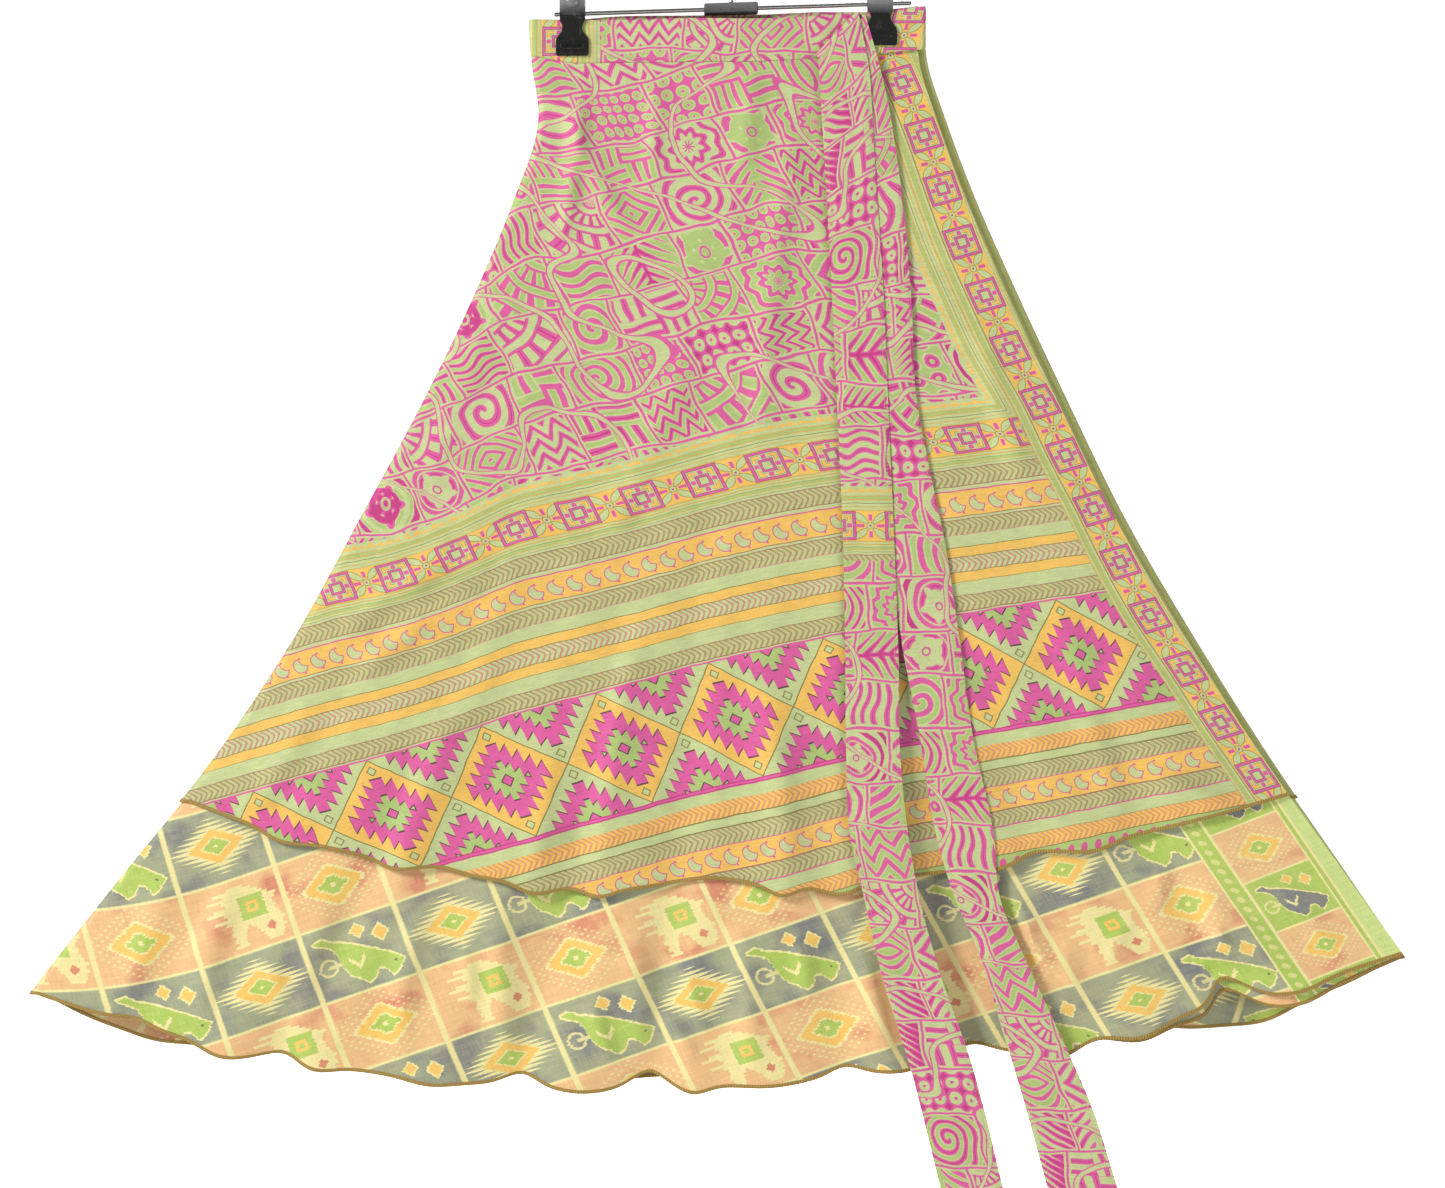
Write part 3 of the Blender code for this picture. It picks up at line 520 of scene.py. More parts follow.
@dataclass(frozen=True)
class Print:
    """Print coordinates of the cloths, in millimetres, and of the under cloth in cells."""

    square_pitch: float = 54.3
    star_drop: float = 199.0
    column_top: float = -147.0
    column_pitch: float = 45.5
    column_slope: float = 0.25
    fold_strip: float = 28.0
    strip_width: float = 15.0
    strip_end: float = -12.0
    bend: float = 90.0
    behind_lean: float = 0.3
    none: float = -1000.0
    cell_wide: float = 90.6
    cell_high: float = 66.7
    cell_z: float = -860.0
    cell_start: float = -509.1
    cell_lean: float = 0.47
    cell_spread: float = 0.00035
    row_z: float = -648.0
    row_slope: float = 0.343
    row_bend: float = 0.0011
    edge_x: float = 394.0
    edge_z: float = -785.5
    edge_slope: float = 0.68
    band_square_z: float = -84.4
    band_square_x: float = 153.9
    band_lean: float = 0.28
    band_left_x: float = -147.0
    band_left_z: float = -112.0
    band_edge: float = -36.0

    def down(self, x: Array, z: Array) -> Array:
        """v: a line from the row of squares, where it is 0, through the row of stars."""
        squares = THREADS.at(x, "squares")
        return (squares - z) / (squares - THREADS.at(x, "stars")) * self.star_drop

    def band(self, x: Array, z: Array) -> Array:
        """As the column of squares, for the waistband's two ends; between them there is none.

        Args:
            x: places across, in mm.
            z: heights, in mm.

        Returns:
            distances off the column and along it.
        """
        right = x - self.band_square_x - self.band_lean * (z - self.band_square_z)
        left = self.band_left_x - x
        off = np.maximum(left, right)
        top = np.where(left > right, self.band_left_z, self.band_square_z)
        along = (top - z) / self.column_pitch * self.square_pitch
        return np.stack([np.where(off < self.band_edge, self.none, off), along], -1)

    def upper(self, x: Array, z: Array, face: Face) -> tuple[Array, Array]:
        """The upper cloth's rows and border, (across, along) each.

        In front u runs along the row of squares, leaning with v, and the border is the column of
        squares. Where no photograph shows the cloth, its rows rise to the middle, and a strip runs
        along the right fold.

        Args:
            x: places across.
            z: heights.
            face: the underlap's print is the back's.

        Returns:
            The coordinates of the rows and those of the border.
        """
        if face is Face.FRONT:
            v = self.down(x, z)
            u = THREADS.at(x, "count") * self.square_pitch - THREADS.at(x, "lean") * v
            off = x - COLUMN.at(z, "x")
            along = (self.column_top - z + self.column_slope * off) / self.column_pitch
            return np.stack([u, v], -1), np.stack([off, along * self.square_pitch], -1)
        v = self.down(-np.sqrt(x ** 2 + self.bend ** 2), z)
        inward = SIDES.at(z, "right") - x
        off = np.where(inward < self.strip_width, self.fold_strip + inward, self.strip_end - inward)
        return np.stack([x - self.behind_lean * v, v], -1), np.stack([off, -z], -1)

    def under(self, x: Array, z: Array, face: Face) -> tuple[Array, Array]:
        """Cell coordinates of the under cloth, counted in cells, and those of its end border.

        Args:
            x: places across, in mm.
            z: heights, in mm.
            face: the face that carries the print.

        Returns:
            columns and rows of cells, and distances past the end border's start and down it.
        """
        x_print = -face.value * x
        lean = self.cell_lean + self.cell_spread * (x_print + 50.0)
        column = (x_print + lean * (z - self.cell_z) - self.cell_start) / self.cell_wide
        flat = self.row_bend * np.minimum(x_print + 430.0, 0.0) ** 2
        row = (self.row_z + self.row_slope * x_print + flat - z) / self.cell_high
        off = x - self.edge_x - self.edge_slope * (self.edge_z - z)
        if face is Face.BACK:
            off = np.full_like(x, self.none)
        return np.stack([column, row], -1), np.stack([off, -z], -1)

    def grid(self, cloth: Cloth, points: Array, face: Face) -> "Grid":
        """Points of either cloth with their print coordinates."""
        lay = self.upper if cloth is Cloth.UPPER else self.under
        return Grid(points, *lay(points[..., 0], points[..., 2], face))


PRINT = Print()


@dataclass
class Grid:
    """A surface's middle on a grid of rows and columns, with two sets of print coordinates."""

    points: Array
    cloth: Array
    border: Array

    @staticmethod
    def join(parts: Sequence["Grid"]) -> "Grid":
        """Grids side by side, as one."""
        names = ("points", "cloth", "border")
        return Grid(*(np.concatenate([getattr(part, name) for part in parts], axis=1) for name in names))

    def normals(self) -> Array:
        """Unit normals: the cross product of the way down the rows and the way along them."""
        return unit(np.cross(np.gradient(self.points, axis=0), np.gradient(self.points, axis=1)))

    def area(self) -> float:
        """Area in square metres: the sum over the cells of their diagonals' half cross product.

        Returns:
            the area.
        """
        p = self.points * MM
        diagonals = p[1:, 1:] - p[:-1, :-1], p[1:, :-1] - p[:-1, 1:]
        return float(np.linalg.norm(np.cross(*diagonals), axis=-1).sum() / 2)

    def width(self) -> float:
        """Length of the lowest row in metres."""
        return float(travel(self.points[-1])[-1] * MM)

    def length(self) -> float:
        """Length of the longest column in metres."""
        return float(np.linalg.norm(np.diff(self.points, axis=0), axis=-1).sum(axis=0).max() * MM)


def add_object(name: str, data: bpy.types.ID) -> bpy.types.Object:
    """A new object in the scene, at the origin.

    Args:
        name: its name.
        data: its mesh.

    Returns:
        the object.
    """
    obj = bpy.data.objects.new(name, data)
    bpy.context.scene.collection.objects.link(obj)
    return obj


def build_mesh(
    name: str, vertices: Array, faces: Array, maps: Mapping[str, Array], finish: "Finish",
    rounded: bool = True,
) -> bpy.types.Object:
    """An object from whole arrays.

    Args:
        name: the object's name.
        vertices: places in millimetres, one row each.
        faces: as many vertex numbers for each face.
        maps: UV maps by name, a pair for each face corner.
        finish: the finish.
        rounded: shade it smooth, but for sharp edges.

    Returns:
        The new object, which already rides on the skirt's body and carries its finish's material.
    """
    mesh = bpy.data.meshes.new(name)
    count, corners = faces.shape
    mesh.vertices.add(len(vertices))
    mesh.vertices.foreach_set("co", (vertices * MM).astype(np.float32).ravel())
    mesh.loops.add(count * corners)
    mesh.loops.foreach_set("vertex_index", faces.astype(np.int32).ravel())
    mesh.polygons.add(count)
    mesh.polygons.foreach_set("loop_start", np.arange(0, count * corners, corners, dtype=np.int32))
    mesh.update(calc_edges=True)
    for title, pairs in maps.items():
        mesh.uv_layers.new(name=title).data.foreach_set("uv", pairs.astype(np.float32).ravel())
    mesh.validate()
    mesh.materials.append(finish.material)
    if rounded:
        mesh.shade_smooth()
        mesh.set_sharp_from_angle(angle=math.radians(50))
    else:
        mesh.shade_flat()
    obj = add_object(name, mesh)
    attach(obj, BODY)
    return obj


def shell(
    node: str, grid: Grid, thickness: Array, finish: "Finish", jump: tuple[int, float] = (0, 0.0)
) -> bpy.types.Object:
    """A closed thin wall: the grid's middle moved half the thickness along its normals, both ways.

    Args:
        node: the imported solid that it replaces.
        grid: the wall's middle.
        thickness: one value, or one for each grid point.
        finish: the finish.
        jump: a row, and how far the print moves along from that row down, where cloth is pieced.

    Returns:
        The shell.
    """
    rows, columns = grid.points.shape[:2]
    half = grid.normals() * np.broadcast_to(thickness, (rows, columns))[..., None] / 2
    count = rows * columns
    index = np.arange(count).reshape(rows, columns)
    near = np.stack([index[:-1, :-1], index[1:, :-1], index[1:, 1:], index[:-1, 1:]], -1).reshape(-1, 4)
    rim = np.concatenate([index[0, :], index[1:, -1], index[-1, -2::-1], index[-2:0:-1, 0]])
    ring = np.stack([rim, np.roll(rim, -1), np.roll(rim, -1) + count, rim + count], -1)
    quads = np.concatenate([near, near[:, ::-1] + count, ring])
    vertices = np.concatenate([(grid.points + half).reshape(-1, 3), (grid.points - half).reshape(-1, 3)])
    face_rows = np.repeat(np.arange(rows - 1), columns - 1)
    rim_rows = np.minimum(ring.min(axis=1) // columns, rows - 2)
    moved = np.concatenate([face_rows, face_rows, rim_rows]) >= jump[0]
    cloth, border = (pairs.reshape(-1, 2)[quads % count] for pairs in (grid.cloth, grid.border))
    cloth[..., 1] += np.where(moved, jump[1], 0.0)[:, None]
    piece = build_mesh(f"{node}_cloth", vertices, quads, {"cloth": cloth, "border": border}, finish)
    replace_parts(piece, node)
    return piece


def tube_strip(name: str, sections: Array, along: Array, around: Array, finish: "Finish") -> bpy.types.Object:
    """A closed strip from cross sections: quads between them and a fan of quads at both ends.

    Args:
        name: the object's name.
        sections: points, one row of an even number for each cross section, going round it.
        along: place along the strip of each section.
        around: place round the section of each point.
        finish: the finish.

    Returns:
        The strip.
    """
    rows, ring = sections.shape[:2]
    index = np.arange(rows * ring).reshape(rows, ring)
    following = np.roll(index, -1, axis=1)
    walls = np.stack([index[:-1], following[:-1], following[1:], index[1:]], -1).reshape(-1, 4)
    k = np.arange(ring // 2 - 1)
    cap = np.stack([k, k + 1, ring - 2 - k, ring - 1 - k], -1)
    quads = np.concatenate([walls, cap[:, ::-1], cap + (rows - 1) * ring])
    places = stacked(along[:, None], around[None, :]).reshape(-1, 2)
    return build_mesh(name, sections.reshape(-1, 3), quads, {"thread": places[quads]}, finish)


class Dye(Enum):
    """Colours of the cloths and threads, as they look in even white light."""

    SAGE = (203, 213, 150)
    GREEN = (180, 201, 122)
    MAGENTA = (226, 98, 162)
    DEEP = (205, 66, 136)
    PINK = (222, 96, 150)
    ORANGE = (247, 198, 100)
    OCHRE = (214, 180, 92)
    OLIVE = (140, 134, 78)
    DARK = (92, 74, 72)
    BROWN = (170, 118, 102)
    ROSEWOOD = (208, 112, 122)
    DRAB = (198, 202, 136)
    CREAM = (240, 228, 160)
    SALMON = (238, 184, 132)
    ROSE = (216, 112, 96)
    SLATE = (150, 158, 132)
    DUSK = (100, 108, 124)
    LEAF = (166, 198, 80)
    GOLD = (248, 194, 88)
    SELVEDGE = (200, 222, 136)
    THREAD = (196, 162, 80)
    THREAD_DARK = (136, 108, 48)

    @property
    def linear(self) -> tuple[float, ...]:
        """The colour as linear light: ((c + 0.055) / 1.055)^2.4, or c / 12.92 where dark."""
        shares = [channel / 255 for channel in self.value]
        return (*(c / 12.92 if c <= 0.04045 else ((c + 0.055) / 1.055) ** 2.4 for c in shares), 1.0)


def grey(light: float, solid: float = 1.0) -> tuple[float, ...]:
    """A neutral colour and what a ramp carries beside it."""
    return (light, light, light, solid)


CLEAR = grey(0.0, 0.0)


class Motif(Enum):
    """What fills a stripe, valued with the code that its ramp carries beside the colour."""

    PLAIN = 1.0
    CHEVRON = 0.75
    CHEVRON_ON_ORANGE = 0.5
    PAISLEY = 0.25
    ROSE_CHEVRON = 0.875


class Stripe(NamedTuple):
    """A stripe of the print: where it starts, its colour and what fills it."""

    start: float
    dye: Dye
    motif: Motif = Motif.PLAIN


def striped(
    starts: Mapping[Dye, Sequence[float]], filled: Mapping[Motif, Sequence[float]] | None = None
) -> tuple[Stripe, ...]:
    """Stripes in order, from the starts of each dye's stripes and of the stripes that are filled.

    Args:
        starts: where each dye's stripes start, in mm.
        filled: where each motif's stripes start.

    Returns:
        the stripes.
    """
    motifs = {start: motif for motif, group in (filled or {}).items() for start in group}
    placed = [(start, dye) for dye, group in starts.items() for start in group]
    rows = [Stripe(start, dye, motifs.get(start, Motif.PLAIN)) for start, dye in placed]
    return tuple(sorted(rows, key=lambda row: row.start))


# Stripes along the rows, going down from the squares' upper edge
ROW_STRIPES = striped({
    Dye.ORANGE: (-12.6, 43.8, 91.6, 112, 260.8, 296.8, 342),
    Dye.OCHRE: (12.4, 15.2, 19.8, 369.4, 384),
    Dye.SAGE: (13.6, 16.2, 20.6, 22.6, 39.8, 65.4, 80.6, 99.6, 120.6, 144.9, 251.2, 274.2, 331.2, 430),
    Dye.OLIVE: (17.6, 22, 91, 99, 111.4, 120, 273.4, 281.3, 341.4, 354.6),
    Dye.GREEN: (18.2, 355.4, 371),
    Dye.BROWN: (24.4, 39, 64.6, 67.2, 131.7, 144.2, 316.8),
    Dye.DRAB: (25.2, 68, 132.4, 282.2, 317.6),
    Dye.PINK: (42.8, 80, 295.8, 330.2),
    Dye.MAGENTA: (146, 248.2),
    Dye.DEEP: (247.4, 250.4),
}, {
    Motif.CHEVRON: (25.2, 68, 132.4, 282.2, 317.6),
    Motif.PAISLEY: (43.8, 296.8),
    Motif.ROSE_CHEVRON: (99.6,),
    Motif.CHEVRON_ON_ORANGE: (260.8, 342),
})
CHEVRON_MIDDLES = (32.1, 73.8, 105.6, 138.6, 267.1, 288.9, 324.0, 348.3)
CHEVRON_HALF = 6.8
CHEVRON_PITCH = 4.95
PAISLEY_MIDDLES = (55.3, 306.9)
PAISLEY_PITCH = 16.2
DOT_MIDDLE = 362.2
DOT_PITCH = 12.4
STAR_MIDDLE = 197.6
STAR_HALF = 49.9
STAR_PITCH = 98.8
STAR_START = 259.0
SQUARES_TOP = -12.6
COLUMN_LEFT = -26.0
COLUMN_RIGHT = 45.0
COLUMN_HALF = 14.4
EDGING_WIDE = 21.0

# Stripes across the column of squares, from its left flank to the free edge and the fold behind
COLUMN_STRIPES = striped({
    Dye.OCHRE: (-26, -23.4, -19.8, -16, 15.4, 17.6, 21.4, 27.4, 30.6, 34.4, 41),
    Dye.SAGE: (-25.2, -19, -15.2, 14.4, 16.2, 22.2, 28.4, 35.4, 42),
    Dye.GREEN: (-22.6, 18.6, 25, 31.6, 38.6),
    Dye.OLIVE: (-16.6, 24.4, 38),
    Dye.ORANGE: (-14.6,),
})
# Edging between the squares and the patchwork, going outwards
EDGING = striped({
    Dye.OCHRE: (0, 3.2, 8.8, 12),
    Dye.SAGE: (0.8, 4, 6.8, 12.8),
    Dye.OLIVE: (6.2,),
    Dye.GREEN: (9.8,),
})
# Rows of the elephant: both ends and the gap between its legs, in shares of its cell
ELEPHANT = Table(
    "y left right gap gap_end",
    (0, 0, 0, 0, 0), (0.1, 0.46, 0.62, 0, 0), (0.14, 0.3, 0.7, 0, 0), (0.18, 0.4, 0.76, 0, 0),
    (0.22, 0.22, 0.8, 0, 0), (0.26, 0.37, 0.85, 0, 0), (0.3, 0.4, 0.93, 0, 0), (0.34, 0.28, 0.9, 0, 0),
    (0.38, 0.2, 0.88, 0, 0), (0.42, 0.36, 0.87, 0, 0), (0.46, 0.39, 0.89, 0, 0), (0.5, 0.25, 0.88, 0, 0),
    (0.54, 0.36, 0.9, 0, 0), (0.59, 0.41, 0.92, 0, 0), (0.64, 0.4, 0.95, 0.56, 0.6),
    (0.69, 0.38, 0.92, 0.53, 0.64), (0.74, 0.41, 0.94, 0.52, 0.67), (0.79, 0.39, 0.91, 0.51, 0.7),
    (0.84, 0.42, 0.9, 0.5, 0.71), (0.88, 0.38, 0.88, 0.52, 0.73), (0.92, 0, 0, 0, 0),
)
# The parrot's upper and lower edge across its cell, in shares of the cell
PARROT = Table(
    "x top bottom",
    (0, 0.5, 0.4), (0.07, 0.22, 0.12), (0.1, 0.16, 0.22), (0.2, 0.13, 0.29), (0.26, 0.19, 0.35),
    (0.29, 0.22, 0.44), (0.31, 0.23, 0.64), (0.36, 0.25, 0.76), (0.44, 0.3, 0.84), (0.5, 0.34, 0.93),
    (0.58, 0.4, 0.89), (0.64, 0.45, 0.78), (0.7, 0.5, 0.8), (0.76, 0.55, 0.93), (0.82, 0.6, 0.9),
    (0.88, 0.66, 0.82), (0.93, 0.72, 0.74), (0.97, 0.8, 0.66),
)


def adds(operation: str) -> Callable[["Value", Operand], "Value"]:
    """An operator: a Math node of the value and the other term."""
    return lambda value, other: value.shop.math(operation, value, other)


def adds_turned(operation: str) -> Callable[["Value", Operand], "Value"]:
    """A reflected operator: a Math node in which the other term comes first."""
    return lambda value, other: value.shop.math(operation, other, value)


def alters(operation: str) -> Callable[["Value"], "Value"]:
    """A Math node of the value alone."""
    return lambda value: value.shop.math(operation, value)


class Value:
    """A number or colour socket of a node tree, with the operators of plain arithmetic.

    Comparisons give 1 where they hold, else 0; % is never negative; part() is what lies above floor().
    """

    def __init__(self, shop: "Finish", socket: bpy.types.NodeSocket) -> None:
        """Keep the tree's maker and the socket."""
        self.shop = shop
        self.socket = socket

    __add__ = adds("ADD")
    __radd__ = adds_turned("ADD")
    __sub__ = adds("SUBTRACT")
    __rsub__ = adds_turned("SUBTRACT")
    __mul__ = adds("MULTIPLY")
    __rmul__ = adds_turned("MULTIPLY")
    __truediv__ = adds("DIVIDE")
    __rtruediv__ = adds_turned("DIVIDE")
    __mod__ = adds("FLOORED_MODULO")
    __pow__ = adds("POWER")
    __rpow__ = adds_turned("POWER")
    __lt__ = adds("LESS_THAN")
    __gt__ = adds("GREATER_THAN")
    __abs__ = alters("ABSOLUTE")
    least = adds("MINIMUM")
    most = adds("MAXIMUM")
    floor = alters("FLOOR")
    part = alters("FRACT")
    sine = alters("SINE")
    cosine = alters("COSINE")
    root = alters("SQRT")

    def near(self, other: Operand, within: float) -> "Value":
        """1 where self lies within a distance of other, else 0."""
        return self.shop.math("COMPARE", self, other, within)

    def tooth(self) -> "Value":
        """Triangle wave of period 1: -1 at whole numbers, 1 halfway."""
        return 1 - 4 * abs(self.part() - 0.5)

    def centred(self, pitch: float) -> "Value":
        """Place within a period of this pitch, from its middle."""
        return ((self / pitch).part() - 0.5) * pitch

    def plus(self, factor: Operand, term: Operand) -> "Value":
        """self * factor + term in one node."""
        return self.shop.math("MULTIPLY_ADD", self, factor, term)

    def choose(self, first: Operand, second: Operand) -> "Value":
        """The first number where self is 0, the second where it is 1."""
        return self.plus(second - first, first)


class Finish:
    """The node tree of one material or of the world, and the ways to add to it."""

    slot = ""

    def __init__(self, name: str, owner: bpy.types.ID | None = None) -> None:
        """Start an empty tree and dress it.

        Args:
            name: the material's name.
            owner: what holds the tree instead of a new material.
        """
        self.material = owner or bpy.data.materials.new(name)
        self.material.use_nodes = True
        self.tree = self.material.node_tree
        self.tree.nodes.clear()
        self.dress()

    def dress(self) -> None:
        """Add the finish's nodes; a plain finish starts with none."""

    def node(
        self, kind: str, settings: Mapping[str, Any] | None = None, sockets: Mapping[Any, Any] | None = None
    ) -> bpy.types.Node:
        """Add any node.

        Args:
            kind: the node's type.
            settings: its properties, which are set first.
            sockets: its inputs by name or number, each a Value, a socket, a Dye or a constant.

        Returns:
            The node.
        """
        made = self.tree.nodes.new(kind)
        for key, setting in (settings or {}).items():
            setattr(made, key, setting)
        for key, given in (sockets or {}).items():
            given = given.socket if isinstance(given, Value) else given
            if isinstance(given, bpy.types.NodeSocket):
                self.tree.links.new(given, made.inputs[key])
            else:
                made.inputs[key].default_value = given.linear if isinstance(given, Dye) else given
        return made

    def values(self, node: bpy.types.Node, count: int) -> tuple[Value, ...]:
        """The first few outputs of a node."""
        return tuple(Value(self, node.outputs[i]) for i in range(count))

    def math(self, operation: str, *terms: Operand) -> Value:
        """A Math node."""
        made = self.node("ShaderNodeMath", {"operation": operation}, dict(enumerate(terms)))
        return Value(self, made.outputs[0])

    def mix(self, factor: Operand, first: Any, second: Any) -> Value:
        """The first colour where the factor is 0, the second where it is 1."""
        made = self.node("ShaderNodeMix", {"data_type": "RGBA"}, {0: factor, 6: first, 7: second})
        return Value(self, made.outputs[2])

    def paint(self, colour: Any, *coats: tuple[Operand, Any]) -> Value:
        """Lay coats over a colour, one after the other, each a mask and its colour.

        Args:
            colour: the ground.
            coats: the masks and colours, the last on top.

        Returns:
            the colour.
        """
        for mask, coat in coats:
            colour = self.mix(mask, colour, coat)
        return colour

    def ramp(
        self, value: Value, stops: Sequence[tuple[float, Any]], kind: str = "CONSTANT"
    ) -> tuple[Value, Value]:
        """A colour ramp.

        Args:
            value: where it is read, from 0 to 1.
            stops: position and Dye, or position and four numbers.
            kind: CONSTANT holds each stop, LINEAR blends between them.

        Returns:
            Its colour, and the number in its alpha.
        """
        made = self.node("ShaderNodeValToRGB", None, {0: value})
        elements = made.color_ramp.elements
        made.color_ramp.interpolation = kind
        elements.remove(elements[-1])
        for number, (position, colour) in enumerate(stops):
            element = elements.new(position) if number else elements[0]
            element.position = position
            element.color = colour.linear if isinstance(colour, Dye) else colour
        return self.values(made, 2)

    def pair(self, title: str) -> tuple[Value, Value]:
        """Both coordinates of the UV map with this name."""
        uv = self.node("ShaderNodeUVMap", {"uv_map": title})
        return self.values(self.node("ShaderNodeSeparateXYZ", None, {0: uv.outputs[0]}), 2)

    def point(self, x: Operand, y: Operand) -> Value:
        """A vector from two numbers."""
        return self.values(self.node("ShaderNodeCombineXYZ", None, {0: x, 1: y}), 1)[0]

    def noise(self, x: Operand, y: Operand, scale: float, detail: float = 2.0) -> Value:
        """Smooth noise from 0 to 1 at a place, its features 1 / scale apart."""
        inputs = {"Vector": self.point(x, y), "Scale": scale, "Detail": detail, "Roughness": 0.55}
        return self.values(self.node("ShaderNodeTexNoise", {"noise_dimensions": "2D"}, inputs), 1)[0]

    def grain(self, scale: float, detail: float = 2.0) -> Value:
        """Smooth noise from 0 to 1 in the object's own space, its features 1 / scale metres apart.

        Args:
            scale: features a metre.
            detail: octaves of finer noise.

        Returns:
            the noise.
        """
        where = self.node("ShaderNodeTexCoord").outputs["Object"]
        inputs = {"Vector": where, "Scale": scale, "Detail": detail}
        return self.values(self.node("ShaderNodeTexNoise", None, inputs), 1)[0]

    def channels(self, colour: Any) -> tuple[Value, Value, Value]:
        """The red, green and blue numbers of a colour."""
        return self.values(self.node("ShaderNodeSeparateColor", None, {0: colour}), 3)

    def length(self, x: Value, y: Value) -> Value:
        """Distance from the origin: the root of x^2 + y^2."""
        return (x * x + y * y).root()

    def stripes(self, v: Value, rows: Sequence[Stripe]) -> tuple[Value, Value]:
        """Colours and codes of a table of stripes.

        The table is cut into ramps of at most a hundred millimetres, so that thin lines stay thin.

        Args:
            v: the place across the stripes.
            rows: the stripes, in order of their starts.

        Returns:
            The colour, and the code of what fills the stripe.
        """
        chunks: list[list[Stripe]] = [[]]
        for row in rows:
            if chunks[-1] and (row.start - chunks[-1][0].start > 100 or len(chunks[-1]) > 24):
                chunks.append([])
            chunks[-1].append(row)
        found = None
        for chunk in chunks:
            first, span = chunk[0].start, chunk[-1].start - chunk[0].start + 2.0
            stops = [((row.start - first) / span, (*row.dye.linear[:3], row.motif.value)) for row in chunk]
            colour, code = self.ramp((v - first) / span, stops)
            if found:
                after = v > first
                colour, code = self.mix(after, found[0], colour), after.choose(found[1], code)
            found = colour, code
        return found

    def finish(self, sockets: Mapping[str, Any]) -> None:
        """Join a Principled shader with these inputs to the material's output."""
        shader = self.node("ShaderNodeBsdfPrincipled", None, sockets)
        self.node("ShaderNodeOutputMaterial", None, {"Surface": shader.outputs[0]})

    def surface(self, strength: float, distance: float, height: Value, sockets: Mapping[str, Any]) -> None:
        inputs = {"Strength": strength, "Distance": distance, "Height": height}
        self.finish({**sockets, "Normal": self.node("ShaderNodeBump", None, inputs).outputs[0]})

    def silk(self, colour: Value, shade: Value, height: Value, roughness: Operand) -> None:
        """Light silk: soft sheen, little gloss, and a bump from the weave.

        Args:
            colour: base colour.
            shade: how much lighter or darker it is, through a Vector Math node.
            height: bump height from 0 to 1.
            roughness: a Value or number.
        """
        tint = self.node("ShaderNodeVectorMath", {"operation": "SCALE"}, {0: colour, "Scale": shade})
        self.surface(0.35, 0.0005, height, {
            "Base Color": tint.outputs[0], "Roughness": roughness, "Specular IOR Level": 0.28,
            "Sheen Weight": 0.12, "Sheen Roughness": 0.4,
        })


